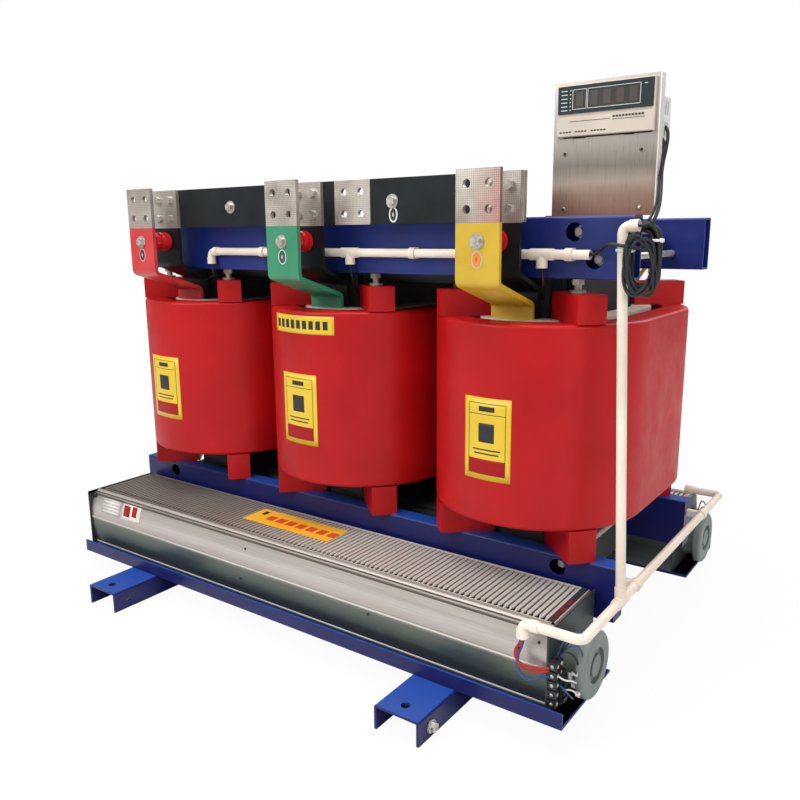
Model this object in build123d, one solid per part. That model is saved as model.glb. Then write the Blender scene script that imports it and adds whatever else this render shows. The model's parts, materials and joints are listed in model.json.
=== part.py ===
from build123d import *
import os
from math import cos, sin, tan, radians, acos, hypot

# A three phase cast resin dry type transformer with cross flow fans and a temperature controller.
# Millimetres, +Z up, the low voltage side faces -Y and the high voltage side faces +Y.

# ---- base and clamps ----
CHANNEL_X, CHANNEL_W, CHANNEL_H, CHANNEL_T, CHANNEL_HALF_LEN = 492.0, 110.0, 55.0, 6.0, 674.0
CHANNEL_HOLE_Y, CHANNEL_HOLE_R = 640.0, 10.0
CLAMP_HALF_X, CLAMP_OUT, CLAMP_D, CLAMP_H, CLAMP_T = 785.0, 279.0, 50.0, 126.0, 5.0
CLAMP_IN = CLAMP_OUT - CLAMP_D
LOW_CLAMP_TOP, HIGH_CLAMP_TOP = 291.0, 1022.0
LOW_CLAMP_Z, HIGH_CLAMP_Z = LOW_CLAMP_TOP - CLAMP_H, HIGH_CLAMP_TOP - CLAMP_H
ROD_R, ACCESS_R = 8.0, 19.0
HIGH_RODS = ((663.0, 991.0), (708.0, 936.0))
LOW_RODS = ((652.0, 262.0),)

# ---- core and coils ----
PITCH = 530.0
LIMB_STEPS = ((95.0, 180.0, 0.0), (78.0, 200.0, 8.0), (56.0, 219.0, 18.0))
CORE_HALF_Y = LIMB_STEPS[-1][1]
YOKE_H = 150.0
STRAIGHT = 125.0
HV_OUT, HV_IN, LV_OUT, LV_IN = 249.0, 187.0, 160.0, 112.0
COIL_Z0, COIL_Z1 = 364.5, 807.0
BLOCK_ANGLE, BLOCK_LEN, BLOCK_W, PRESS_BLOCK_TOP = 48.0, 133.0, 64.0, 866.0
STUD_R, STUD_RADIUS = 8.0, 175.0

# ---- low voltage bars and neutral ----
BAR_W, BAR_T, BAR_TOP, BAR_BEND, TAB_TOP = 100.0, 10.0, 1114.0, 889.0, 840.0
BAR_X, POST_LEN = -8.0, 76.0
DROP_FRONT = -340.0
BAR_FRONT = DROP_FRONT - POST_LEN - BAR_T
BAR_TAB, DROP_TAB = -273.0, -250.0
DROP_TOP, DROP_BEND, DROP_TAB_TOP = 1113.0, 908.0, 872.0
BUS_Z0, BUS_Z1, BUS_T = 1012.0, 1113.0, 10.0
BUS_BACK = DROP_FRONT + BAR_T + BUS_T
PAD_PITCH, PAD_HOLE_R, PAD_Z = 50.0, 8.8, 1061.0
NEUTRAL_PAD_X = 130.0
POST_Z, POST_R = 974.0, 25.0
BUS_POST_X, BUS_POST_Z, BUS_POST_R = (-281.0, 247.0), 1062.0, 20.0

# ---- fans ----
FAN_Y, FAN_Z, FAN_R, SHAFT_R = 408.0, 135.0, 58.0, 6.0
TRAY_X0, TRAY_X1, TRAY_OUT, TRAY_IN, TRAY_T, TRAY_LIP = -768.0, 786.0, 538.0, 286.0, 5.0, 33.0
CASE_X0, CASE_X1, CASE_IN, CASE_TOP, CASE_T, PLATE_T = -760.0, 742.0, 289.0, 232.0, 2.0, 3.0
CASE_FRONT_TOP, CASE_FRONT_MID, CASE_FRONT_LOW, CASE_MID_Z = 496.0, 515.0, 501.0, 153.0
MOUTH_OUT, MOUTH_IN = 464.0, 302.0
MOTOR_R, MOTOR_X1 = 70.0, 802.0
SLAT_PITCH = 26.0
FIT = 0.05

# ---- controller ----
CTRL_X0, CTRL_X1, CTRL_TOP, CTRL_Y, CTRL_T, CTRL_FLANGE = 592.0, 809.0, 1285.0, -235.0, 2.0, 22.0
BEZEL_W, BEZEL_H, BEZEL_D, BEZEL_TOP = 200.0, 98.0, 8.0, 1278.0
CTRL_NECK_W, CTRL_NECK_H, CTRL_BODY_W, CTRL_BODY_H, CTRL_BODY_D = 184.0, 64.0, 198.0, 82.0, 93.0
CTRL_NECK_Z, CTRL_BODY_Z = 1218.0, 1208.0

# ---- conduit ----
PIPE_R, BORE_R, SOCKET_R, SOCKET_L = 10.0, 8.0, 13.0, 20.0
PIPE_Z, PIPE_Y = 946.0, -292.3
PIPE_X0, PIPE_X1, TEES = -410.0, 705.0, (90.0, 600.0)
CLIPS = (-208.0, 276.0, 660.0)
END_X, END_Z, END_Y0, END_Y1, RISER_Y = 821.0, 256.0, -540.0, 447.0, -345.0
RISER_TOP = (776.0, -315.0, 1000.0)


# ---- free control cable: its two runs, and the hank that hangs at the clamp's end ----
CABLE_R, CABLE_BEND, HANK_R, HANK_HALF_W, HANK_HALF_H = 4.5, 30.0, 11.4, 26.0, 59.0
HANK = (809.0, -CLAMP_OUT - 0.4 - HANK_R, 941.0)
CABLE_IN = [(PIPE_X1 - 12, PIPE_Y, PIPE_Z), (717.0, PIPE_Y - 1, PIPE_Z + 2), (745.0, -337.0, 962.0),
            (800.0, -338.0, 952.0), (HANK[0] + HANK_HALF_W - 7.05, HANK[1] - 9.5, 952.0)]
CABLE_OUT = [(HANK[0] + 2, HANK[1], HANK[2] + HANK_HALF_H + HANK_R + 0.4), (HANK[0] + 2, HANK[1], 1040.0),
             (824.0, -240.0, 1062.0), (815.0, -206.0, 1112.0), (828.0, -184.0, 1160.0),
             (CTRL_X1 - 5.8, -170.0, 1192.0)]

X_MIN, X_MAX = -CLAMP_HALF_X, END_X + SOCKET_R
SHIFT = -(X_MIN + X_MAX) / 2

os.makedirs("parts", exist_ok=True)


def block(x0, x1, y0, y1, z0, z1):
    return Pos((x0 + x1) / 2, (y0 + y1) / 2, (z0 + z1) / 2) * Box(abs(x1 - x0), abs(y1 - y0), abs(z1 - z0))


def rod(start, end, radius):
    """A round bar from one point to another."""
    way = Vector(*end) - Vector(*start)
    return extrude(Plane(origin=start, z_dir=way) * Circle(radius), amount=way.length)


def hexagon(start, end, flats):
    way = Vector(*end) - Vector(*start)
    return extrude(Plane(origin=start, z_dir=way) * RegularPolygon(flats / 2, 6, major_radius=False), amount=way.length)


def radii(points, wanted):
    """Bend radii: each is the wanted one, kept below what the shorter run at that bend can hold."""
    out = []
    for a, b, c in zip(points, points[1:], points[2:]):
        u, v = Vector(*b) - Vector(*a), Vector(*c) - Vector(*b)
        turn = acos(max(-1.0, min(1.0, u.normalized().dot(v.normalized()))))
        out.append(min(wanted, 0.45 * min(u.length, v.length) / tan(turn / 2)))
    return out


def tube(points, radius, wanted, bore=0.0):
    """A round tube along straight runs and tangent bends."""
    path = FilletPolyline(*points, radius=radii(points, wanted))
    start = Plane(origin=path @ 0, z_dir=path % 0)
    ring = Circle(radius) - Circle(bore) if bore else Circle(radius)
    return sweep(start * ring, path=path)


def save(name, shape):
    solids = (Pos(SHIFT, 0, 0) * shape).solids()
    export_step(solids[0] if len(solids) == 1 else Compound(children=list(solids)), f"parts/{name}.step")


def join(shapes):
    return Compound(children=list(shapes))


def mirror_y(shape):
    return mirror(shape, about=Plane.XZ)


def racetrack(half, z0, z1, edge=0.0):
    body = Pos(0, 0, z0) * extrude(Rot(0, 0, 90) * SlotCenterToCenter(2 * STRAIGHT, 2 * half), amount=z1 - z0)
    if edge:
        body = fillet(body.edges().group_by(Axis.Z)[0] + body.edges().group_by(Axis.Z)[-1], edge)
    return body


# ---- frame ----
def base_channel(side):
    """An inverted U channel, open below, with a lifting hole near each end."""
    x, half = side * CHANNEL_X, CHANNEL_W / 2
    body = block(x - half, x + half, -CHANNEL_HALF_LEN, CHANNEL_HALF_LEN, 0, CHANNEL_H)
    body = fillet(body.edges().filter_by(Axis.Y).group_by(Axis.Z)[-1], CHANNEL_T)
    body -= block(x - half + CHANNEL_T, x + half - CHANNEL_T, -CHANNEL_HALF_LEN, CHANNEL_HALF_LEN,
                  0, CHANNEL_H - CHANNEL_T)
    for y in (-CHANNEL_HOLE_Y, CHANNEL_HOLE_Y):
        body -= rod((x, y, CHANNEL_H - 2 * CHANNEL_T), (x, y, CHANNEL_H + 1), CHANNEL_HOLE_R)
        body -= rod((x - half - 1, y + 10, 24), (x + half + 1, y + 10, 24), 6.5)
    for y in (-CLAMP_OUT + 24, CLAMP_OUT - 24):
        body -= rod((x, y, 0), (x, y, CHANNEL_H + 1), 8.5)
    return body


def clamp(z0, rods, capped):
    """The front clamp: a box section; access holes outside, rod holes inside, stud holes or drain holes below."""
    body = block(-CLAMP_HALF_X, CLAMP_HALF_X, -CLAMP_OUT, -CLAMP_IN, z0, z0 + CLAMP_H)
    body = fillet(body.edges().filter_by(Axis.X), CLAMP_T)
    reach = CLAMP_HALF_X - CLAMP_T if capped else CLAMP_HALF_X
    body -= block(-reach, reach, -CLAMP_OUT + CLAMP_T, -CLAMP_IN - CLAMP_T, z0 + CLAMP_T, z0 + CLAMP_H - CLAMP_T)
    for x, z in rods:
        for side in (-1, 1):
            body -= rod((side * x, -CLAMP_OUT - 1, z), (side * x, -CLAMP_OUT + CLAMP_T + 1, z), ACCESS_R)
            body -= rod((side * x, -CLAMP_IN - CLAMP_T - 1, z), (side * x, -CLAMP_IN + 1, z), ROD_R + 1)
    if capped:
        for x in (-400.0, 0.0, 400.0):
            body -= rod((x, -(CLAMP_OUT + CLAMP_IN) / 2, z0 - 1), (x, -(CLAMP_OUT + CLAMP_IN) / 2, z0 + CLAMP_T + 1), 6)
    else:
        for x, y in stud_places():
            if y < 0:
                body -= rod((x, y, z0 - 1), (x, y, z0 + CLAMP_T + 1), STUD_R + 1)
    return body


def feet():
    """Folded brackets that carry the lower clamps on the base channels."""
    out = []
    for x in (-CHANNEL_X, CHANNEL_X):
        for s in (-1, 1):
            body = block(x - 50, x + 50, s * CLAMP_OUT, s * CLAMP_IN, CHANNEL_H, LOW_CLAMP_Z)
            body -= block(x - 42, x + 42, s * CLAMP_OUT, s * CLAMP_IN, CHANNEL_H + 8, LOW_CLAMP_Z - 8)
            y = s * (CLAMP_OUT - 24)
            out.append(body - rod((x, y, CHANNEL_H - 1), (x, y, CHANNEL_H + 9), 8.5))
    return join(out)


def foot_bolts():
    out = []
    for x in (-CHANNEL_X, CHANNEL_X):
        for y in (-CLAMP_OUT + 24, CLAMP_OUT - 24):
            top, under = CHANNEL_H + 8, CHANNEL_H - CHANNEL_T
            out.append(rod((x, y, under - 20), (x, y, top), 8) + hexagon((x, y, top), (x, y, top + 10), 24)
                       + hexagon((x, y, under), (x, y, under - 13), 24))
    return out


def earth_bolt():
    """The earthing bolt in the right channel's side, with its nut inside."""
    x, y, z = CHANNEL_X + CHANNEL_W / 2, -CHANNEL_HOLE_Y + 10, 24
    return (rod((x - CHANNEL_T - 14, y, z), (x + 4, y, z), 6) + rod((x, y, z), (x + 3, y, z), 14)
            + hexagon((x + 3, y, z), (x + 12, y, z), 19)
            + hexagon((x - CHANNEL_T, y, z), (x - CHANNEL_T - 10, y, z), 19))


def core():
    """Stacked laminations: three stepped limbs between two stepped yokes."""
    body = None
    low, high = LOW_CLAMP_TOP - YOKE_H, HIGH_CLAMP_TOP
    for half_x, half_y, inset in LIMB_STEPS:
        parts = [block(x - half_x, x + half_x, -half_y, half_y, low + inset, high - inset)
                 for x in (-PITCH, 0, PITCH)]
        reach = PITCH + half_x
        parts += [block(-reach, reach, -half_y, half_y, z + inset, z + YOKE_H - inset)
                  for z in (low, high - YOKE_H)]
        for part in parts:
            body = part if body is None else body + part
    return body


def yoke_insulation():
    """Pressboard strips between the yokes and the clamps."""
    return join(block(-PITCH - 50, PITCH + 50, s * CORE_HALF_Y, s * CLAMP_IN, z + 22, z + 112)
                for s in (-1, 1) for z in (LOW_CLAMP_TOP - YOKE_H + 8, HIGH_CLAMP_TOP - YOKE_H + 8))


def tie_rods():
    out = []
    wall = CLAMP_IN + CLAMP_T
    for x, z in HIGH_RODS + LOW_RODS:
        for side in (-1, 1):
            body = rod((side * x, -wall - 24, z), (side * x, wall + 24, z), ROD_R)
            for s in (-1, 1):
                body += hexagon((side * x, s * wall, z), (side * x, s * (wall + 14), z), 24)
            out.append(body)
    return join(out)


# ---- coils ----
def block_places():
    return [(x, s * STRAIGHT, side * s * (90 - BLOCK_ANGLE) + (0 if side > 0 else 180), side, s)
            for x in (-PITCH, 0, PITCH) for s in (-1, 1) for side in (-1, 1)]


def stud_places():
    reach = STUD_RADIUS
    return [(x + side * reach * sin(radians(BLOCK_ANGLE)), s * (STRAIGHT + reach * cos(radians(BLOCK_ANGLE))))
            for x in (-PITCH, 0, PITCH) for s in (-1, 1) for side in (-1, 1)]


def coil_blocks(z0, z1):
    """Cast resin blocks under or over a coil's four corners, their outer faces level with the coil."""
    out = []
    for x in (-PITCH, 0, PITCH):
        limit = Pos(x, 0, 0) * racetrack(HV_OUT, z0, z1)
        for s in (-1, 1):
            for side in (-1, 1):
                turn = s * (90 - BLOCK_ANGLE) if side > 0 else 180 - s * (90 - BLOCK_ANGLE)
                body = block(HV_OUT - BLOCK_LEN, HV_OUT + 6, -BLOCK_W / 2, BLOCK_W / 2, z0, z1)
                out.append((Pos(x, s * STRAIGHT, 0) * Rot(0, 0, turn) * body) & limit)
    return join(out)


def pressing_bolts():
    out = []
    for x, y in stud_places():
        out.append(rod((x, y, PRESS_BLOCK_TOP), (x, y, HIGH_CLAMP_Z + 18), STUD_R)
                   + rod((x, y, PRESS_BLOCK_TOP), (x, y, PRESS_BLOCK_TOP + 5), 17)
                   + hexagon((x, y, HIGH_CLAMP_Z), (x, y, HIGH_CLAMP_Z - 13), 24))
    return join(out)


def lv_coil():
    return racetrack(LV_OUT, COIL_Z0, COIL_Z1) - racetrack(LV_IN, COIL_Z0 - 1, COIL_Z1 + 1)


PANEL_Y, PANEL_T, PANEL_HALF = HV_OUT + STRAIGHT, 12.0, 62.0
TOP_Z, LOW_Z, TAP_Z, TAP_X, HV_STUD_R = 752.0, 420.0, (536.0, 576.0, 616.0), 26.0, 6.0


def hv_coil():
    """Cast resin winding with a raised tap panel on its high voltage side."""
    body = racetrack(HV_OUT, COIL_Z0, COIL_Z1, 9) - racetrack(HV_IN, COIL_Z0 - 1, COIL_Z1 + 1)
    panel = block(-PANEL_HALF, PANEL_HALF, PANEL_Y - 40, PANEL_Y + PANEL_T, LOW_Z - 30, TOP_Z + 30)
    panel = fillet(panel.edges().filter_by(Axis.Y), 8)
    return body + panel


def hv_stud_places():
    return [(0.0, TOP_Z), (0.0, LOW_Z)] + [(side * TAP_X, z) for z in TAP_Z for side in (-1, 1)]


def hv_terminals():
    """Brass studs with nuts on the three tap panels."""
    out = []
    face = PANEL_Y + PANEL_T
    for x0 in (-PITCH, 0, PITCH):
        for x, z in hv_stud_places():
            tall, nut = (34, 18 if z == TOP_Z else 12) if x == 0 else (20, 8)
            out.append(rod((x0 + x, face, z), (x0 + x, face + tall, z), HV_STUD_R)
                       + rod((x0 + x, face, z), (x0 + x, face + 4, z), 11)
                       + hexagon((x0 + x, face + nut, z), (x0 + x, face + nut + 8, z), 19))
    return join(out)


def hv_tap_links():
    """Flat links that join the middle pair of taps of each coil."""
    out = []
    y0 = PANEL_Y + PANEL_T + 4
    for x0 in (-PITCH, 0, PITCH):
        body = block(x0 - TAP_X - 13, x0 + TAP_X + 13, y0, y0 + 4, TAP_Z[1] - 11, TAP_Z[1] + 11)
        for side in (-1, 1):
            x = x0 + side * TAP_X
            body -= rod((x, y0 - 1, TAP_Z[1]), (x, y0 + 5, TAP_Z[1]), HV_STUD_R + 0.3)
        out.append(body)
    return join(out)


ROD_D, LEAD_D = 14.0, 12.0
LUG_Y, LUG_R, LUG_T, LEAD_LUG_T = PANEL_Y + PANEL_T + 4, 17.0, 8.0, 6.0
STUD_END = PANEL_Y + PANEL_T + 34
HV_POST_X, HV_POST_Z, HV_POST_LEN = 60.0, 958.0, 112.0
HV_CAP_Y = CLAMP_OUT + HV_POST_LEN


def lug(x, z, y0, y1):
    """A flat eye that sits under a stud's nut."""
    return rod((x, y0, z), (x, y1, z), LUG_R) - rod((x, y0 - 1, z), (x, y1 + 1, z), HV_STUD_R + 0.3)


def hv_short_links():
    """Sleeved copper rods from one coil's top stud down to the next coil's low stud."""
    y, off, end = LUG_Y + LUG_T / 2 + ROD_D / 2, 19, 27
    out = []
    for x in (-PITCH, 0):
        body = tube([(x, y, TOP_Z - off), (x, y, TOP_Z - off - 34), (x + PITCH, y, LOW_Z + off + 34),
                     (x + PITCH, y, LOW_Z + off)], ROD_D / 2, 30)
        body += block(x - 7, x + 7, LUG_Y, LUG_Y + LUG_T, TOP_Z - end, TOP_Z - 10)
        body += block(x + PITCH - 7, x + PITCH + 7, LUG_Y, LUG_Y + LUG_T, LOW_Z + 10, LOW_Z + end)
        out.append(body + lug(x, TOP_Z, LUG_Y, LUG_Y + LUG_T) + lug(x + PITCH, LOW_Z, LUG_Y, LUG_Y + LUG_T))
    return join(out)


def hv_long_link():
    """The sleeved rod that closes the delta, from the last coil's top stud to the first one's low stud."""
    y, reach, low = STUD_END + 28, PITCH + 96, LOW_Z - 26
    return tube([(PITCH, STUD_END, TOP_Z), (PITCH, y, TOP_Z), (reach, y, TOP_Z), (reach, y, low),
                 (-reach, y, low), (-reach, y, LOW_Z), (-PITCH, y, LOW_Z), (-PITCH, STUD_END, LOW_Z)], ROD_D / 2, 30)


def hv_leads():
    """Sleeved leads from the top studs up to the posts on the rear clamp."""
    out = []
    y0 = LUG_Y + LUG_T
    for x0 in (-PITCH, 0, PITCH):
        x1, y = x0 + HV_POST_X, y0 + 4 + LEAD_D / 2
        body = tube([(x0, y, TOP_Z + 13), (x0, y, TOP_Z + 60), (x1, y, HV_POST_Z - 60), (x1, y, HV_POST_Z - 13)],
                    LEAD_D / 2, 40)
        body += lug(x0, TOP_Z, y0, y0 + LEAD_LUG_T)
        end = rod((x1, HV_CAP_Y, HV_POST_Z), (x1, y + 2, HV_POST_Z), LUG_R)
        out.append(body + end)
    return join(out)


def hv_posts():
    """Ribbed post insulators on the rear upper clamp, each with a brass cap stud."""
    out = []
    for x0 in (-PITCH, 0, PITCH):
        x = x0 + HV_POST_X
        body = rod((x, CLAMP_OUT, HV_POST_Z), (x, HV_CAP_Y, HV_POST_Z), 22)
        for k in range(4):
            y = CLAMP_OUT + 20 + 24 * k
            body += rod((x, y, HV_POST_Z), (x, y + 8, HV_POST_Z), 32)
        out.append(body)
    return join(out)


# ---- bars ----
def z_bar(x, front, top, bend, tab, tab_top):
    """A flat bar that comes down, slopes back under the clamp and stands on the low voltage coil."""
    points = [(front + BAR_T / 2, top), (front + BAR_T / 2, bend), (tab + BAR_T / 2, tab_top),
              (tab + BAR_T / 2, COIL_Z1)]
    path = FilletPolyline(*[(0, y, z) for y, z in points], radius=14)
    return Pos(x, 0, 0) * sweep(Plane(origin=(0, points[0][0], top), z_dir=(0, 0, -1)) * Rectangle(BAR_W, BAR_T),
                                path=path)


def drill_y(shape, x, y, z, radius):
    return shape - rod((x, y - 1, z), (x, y + 2 * BAR_T + 1, z), radius)


def pad_holes():
    half = PAD_PITCH / 2
    return [(dx, dz) for dx in (-half, half) for dz in (-half, half)]


def lv_bar(x):
    body = z_bar(x, BAR_FRONT, BAR_TOP, BAR_BEND, BAR_TAB, TAB_TOP)
    for dx, dz in pad_holes():
        body = drill_y(body, x + dx, BAR_FRONT, PAD_Z + dz, PAD_HOLE_R)
    return body - rod((x, BAR_FRONT - 1, POST_Z), (x, BAR_FRONT + BAR_T + 1, POST_Z), 6.5)


def drop_bar(x, post_x):
    body = z_bar(x, DROP_FRONT, DROP_TOP, DROP_BEND, DROP_TAB, DROP_TAB_TOP)
    for dx, dz in pad_holes():
        body = drill_y(body, x + dx, DROP_FRONT, PAD_Z + dz, 7)
    return body


def neutral_bus():
    y = DROP_FRONT + BAR_T
    body = block(-PITCH + BAR_X - 54, PITCH + BAR_X + 54, y, y + BUS_T, BUS_Z0, BUS_Z1)
    for x in (-PITCH + BAR_X, BAR_X, PITCH + BAR_X):
        for dx, dz in pad_holes():
            body -= rod((x + dx, y - 1, PAD_Z + dz), (x + dx, y + BUS_T + 1, PAD_Z + dz), 7)
    for dx, dz in pad_holes():
        body -= rod((NEUTRAL_PAD_X + dx, y - 1, PAD_Z + dz), (NEUTRAL_PAD_X + dx, y + BUS_T + 1, PAD_Z + dz), PAD_HOLE_R)
    for x in BUS_POST_X:
        body -= rod((x, y - 1, BUS_POST_Z), (x, y + BUS_T + 1, BUS_POST_Z), 6.5)
    return body


def neutral_bolts():
    """Bolts, washers and nuts that join the drop bars to the neutral bus."""
    out = []
    for x0 in (-PITCH + BAR_X, BAR_X, PITCH + BAR_X):
        for dx, dz in pad_holes():
            x, z = x0 + dx, PAD_Z + dz
            out.append(rod((x, DROP_FRONT - 3, z), (x, BUS_BACK + 16, z), 6)
                       + rod((x, DROP_FRONT - 2.5, z), (x, DROP_FRONT, z), 12)
                       + hexagon((x, DROP_FRONT - 2.5, z), (x, DROP_FRONT - 10, z), 19)
                       + hexagon((x, BUS_BACK, z), (x, BUS_BACK + 10, z), 19))
    return join(out)


def ribbed(x, y0, y1, z, radius, ribs):
    """A cast resin standoff with round ribs and a metal stud hole at each end."""
    body = rod((x, y0, z), (x, y1, z), radius - 4)
    step = (y1 - y0) / ribs
    for k in range(ribs):
        middle = y0 + (k + 0.5) * step
        body += rod((x, middle - 0.3 * step, z), (x, middle + 0.3 * step, z), radius)
    return body


def bar_posts():
    out = []
    for x in (-PITCH + BAR_X, BAR_X, PITCH + BAR_X):
        body = ribbed(x, BAR_FRONT + BAR_T, DROP_FRONT, POST_Z, POST_R, 4)
        out.append(body - rod((x, BAR_FRONT + BAR_T, POST_Z), (x, BAR_FRONT + BAR_T + 16, POST_Z), 6.1))
    return join(out)


def bus_posts():
    out = []
    for x in BUS_POST_X:
        body = ribbed(x, BUS_BACK, -CLAMP_OUT, BUS_POST_Z, BUS_POST_R, 3)
        out.append(body - rod((x, BUS_BACK, BUS_POST_Z), (x, BUS_BACK + 12, BUS_POST_Z), 6.1))
    return join(out)


def bus_brackets():
    """Angle brackets on the front upper clamp that hold the two bus posts."""
    return join(block(x - 25, x + 25, -CLAMP_OUT, -CLAMP_OUT + 5, HIGH_CLAMP_TOP, BUS_POST_Z + 24)
                + block(x - 25, x + 25, -CLAMP_OUT, -CLAMP_IN, HIGH_CLAMP_TOP, HIGH_CLAMP_TOP + 5)
                for x in BUS_POST_X)


def post_bolts():
    """Bolts that hold the coloured bars and the bus to their posts."""
    out = []
    for x, y, z, deep in ([(x + BAR_X, BAR_FRONT, POST_Z, BAR_T + 15) for x in (-PITCH, 0, PITCH)]
                          + [(x, DROP_FRONT + BAR_T, BUS_POST_Z, BUS_T + 11) for x in BUS_POST_X]):
        out.append(rod((x, y - 2.5, z), (x, y + deep, z), 6) + rod((x, y - 2.5, z), (x, y, z), 16)
                   + hexagon((x, y - 2.5, z), (x, y - 11, z), 19))
    return join(out)


# ---- fans, drawn for the front side and mirrored for the rear ----
def fan_tray():
    """A folded tray on the base channels, with a lip along its front and back."""
    body = block(TRAY_X0, TRAY_X1, -TRAY_OUT, -TRAY_IN, CHANNEL_H, CHANNEL_H + TRAY_T)
    body += block(TRAY_X0, TRAY_X1, -TRAY_OUT, -TRAY_OUT + TRAY_T, CHANNEL_H, CHANNEL_H + TRAY_LIP)
    return body


def case_profile(inset):
    """The fan housing's outline in the YZ plane: flat back and top, a front that bulges at mid height."""
    floor, top = CHANNEL_H + TRAY_T + inset, CASE_TOP - inset
    back, front_top = -CASE_IN - inset, -CASE_FRONT_TOP + inset
    mid, low = -CASE_FRONT_MID + inset, -CASE_FRONT_LOW + inset
    line = Polyline((0, low, floor), (0, back, floor), (0, back, top), (0, front_top, top))
    upper = ThreePointArc((0, front_top, top), (0, mid + 5, CASE_MID_Z + 42), (0, mid, CASE_MID_Z))
    lower = ThreePointArc((0, mid, CASE_MID_Z), (0, mid + 3, CASE_MID_Z - 46), (0, low, floor))
    return make_face(line + upper + lower)


def fan_case():
    outer = extrude(Pos(CASE_X0, 0, 0) * case_profile(0), amount=CASE_X1 - CASE_X0, dir=(1, 0, 0))
    inner = extrude(Pos(CASE_X0, 0, 0) * case_profile(CASE_T), amount=CASE_X1 - CASE_X0, dir=(1, 0, 0))
    body = outer - inner
    return body - block(CASE_X0 + 20, CASE_X1 - 20, -MOUTH_OUT, -MOUTH_IN, CASE_TOP - 10, CASE_TOP + 1)


def fan_end_plates():
    """End plates of the housing: a bearing bore on the left and a wide shaft hole on the right."""
    left = extrude(Pos(CASE_X0 - PLATE_T, 0, 0) * case_profile(0), amount=PLATE_T, dir=(1, 0, 0))
    right = extrude(Pos(CASE_X1, 0, 0) * case_profile(0), amount=PLATE_T, dir=(1, 0, 0))
    left -= rod((CASE_X0 - PLATE_T - 1, -FAN_Y, FAN_Z), (CASE_X0 + 1, -FAN_Y, FAN_Z), SHAFT_R + FIT)
    right -= rod((CASE_X1 - 1, -FAN_Y, FAN_Z), (CASE_X1 + PLATE_T + 1, -FAN_Y, FAN_Z), SHAFT_R + 6)
    return [left, right]


def fan_grille():
    """A guard over the mouth: two rails and short slats across."""
    rise = 4.0
    body = block(CASE_X0 + 8, CASE_X1 - 8, -MOUTH_OUT - 10, -MOUTH_OUT + 2, CASE_TOP, CASE_TOP + rise)
    body += block(CASE_X0 + 8, CASE_X1 - 8, -MOUTH_IN - 2, -MOUTH_IN + 10, CASE_TOP, CASE_TOP + rise)
    count = int((CASE_X1 - CASE_X0 - 20) / SLAT_PITCH)
    slats = [block(CASE_X0 + 10 + k * SLAT_PITCH, CASE_X0 + 13 + k * SLAT_PITCH, -MOUTH_OUT, -MOUTH_IN,
                   CASE_TOP, CASE_TOP + rise) for k in range(count + 1)]
    return body + slats


def fan_impeller():
    """A long drum of flat blades between discs, on one shaft."""
    x0, x1 = CASE_X0 + 14, CASE_X1 - 14
    body = rod((CASE_X0 - PLATE_T, -FAN_Y, FAN_Z), (CASE_X1 + PLATE_T + 20, -FAN_Y, FAN_Z), SHAFT_R)
    for k in range(5):
        x = x0 + k * (x1 - x0 - 3) / 4
        body += rod((x, -FAN_Y, FAN_Z), (x + 3, -FAN_Y, FAN_Z), FAN_R)
    blades = []
    for k in range(16):
        blade = block(x0 + 1, x1 - 1, -1, 1, FAN_R - 15, FAN_R - 0.5)
        blades.append(Pos(0, -FAN_Y, FAN_Z) * Rot(k * 22.5, 0, 0) * blade)
    return body + blades


def fan_motor():
    """A drum motor on the right end plate, its face stepped like a rim round a hub."""
    x0 = CASE_X1 + PLATE_T
    body = rod((x0, -FAN_Y, FAN_Z), (MOTOR_X1 - 18, -FAN_Y, FAN_Z), MOTOR_R - 18)
    body += rod((MOTOR_X1 - 18, -FAN_Y, FAN_Z), (MOTOR_X1, -FAN_Y, FAN_Z), MOTOR_R)
    body = fillet(body.edges().group_by(Axis.X)[-1], 8)
    body -= rod((MOTOR_X1 - 8, -FAN_Y, FAN_Z), (MOTOR_X1 + 1, -FAN_Y, FAN_Z), 37)
    body += rod((MOTOR_X1 - 9, -FAN_Y, FAN_Z), (MOTOR_X1 - 1, -FAN_Y, FAN_Z), 23)
    return body - rod((x0 - 1, -FAN_Y, FAN_Z), (x0 + 24, -FAN_Y, FAN_Z), SHAFT_R + FIT)


def terminal_blocks():
    """Screw terminal strips on the fans' right end plates."""
    out = []
    x0 = CASE_X1 + PLATE_T
    for s in (-1, 1):
        body = block(x0, x0 + 22, s * 478, s * 502, 84, 150)
        body += [block(x0 + 22, x0 + 27, s * 481, s * 499, 88 + 15 * k, 97 + 15 * k) for k in range(4)]
        out.append(body)
    return join(out)


# ---- controller ----
CTRL_X = (CTRL_X0 + CTRL_X1) / 2
BEZEL_Z0 = BEZEL_TOP - BEZEL_H
CTRL_HOLES = [(-82.0, 1147.0), (77.0, 1147.0), (-82.0, 1037.0), (77.0, 1037.0)]


def controller_plate():
    """A folded stainless plate standing on the front upper clamp."""
    y, z0 = CTRL_Y, HIGH_CLAMP_TOP
    body = block(CTRL_X0, CTRL_X1, y, y + CTRL_T, z0, CTRL_TOP)
    body += block(CTRL_X0, CTRL_X0 + CTRL_T, y, y + CTRL_FLANGE, z0, CTRL_TOP)
    body += block(CTRL_X1 - CTRL_T, CTRL_X1, y, y + CTRL_FLANGE, z0, CTRL_TOP)
    body += block(CTRL_X0, CTRL_X1, y, y + CTRL_FLANGE, CTRL_TOP - CTRL_T, CTRL_TOP)
    body += block(CTRL_X0, CLAMP_HALF_X, y - 30, y, z0, z0 + CTRL_T)
    body -= block(CTRL_X - CTRL_NECK_W / 2, CTRL_X + CTRL_NECK_W / 2, y - 1, y + CTRL_T + 1,
                  CTRL_NECK_Z - CTRL_NECK_H / 2, CTRL_NECK_Z + CTRL_NECK_H / 2)
    for x, z in CTRL_HOLES:
        body -= rod((CTRL_X + x, y - 1, z), (CTRL_X + x, y + CTRL_T + 1, z), 4)
    return body


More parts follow.
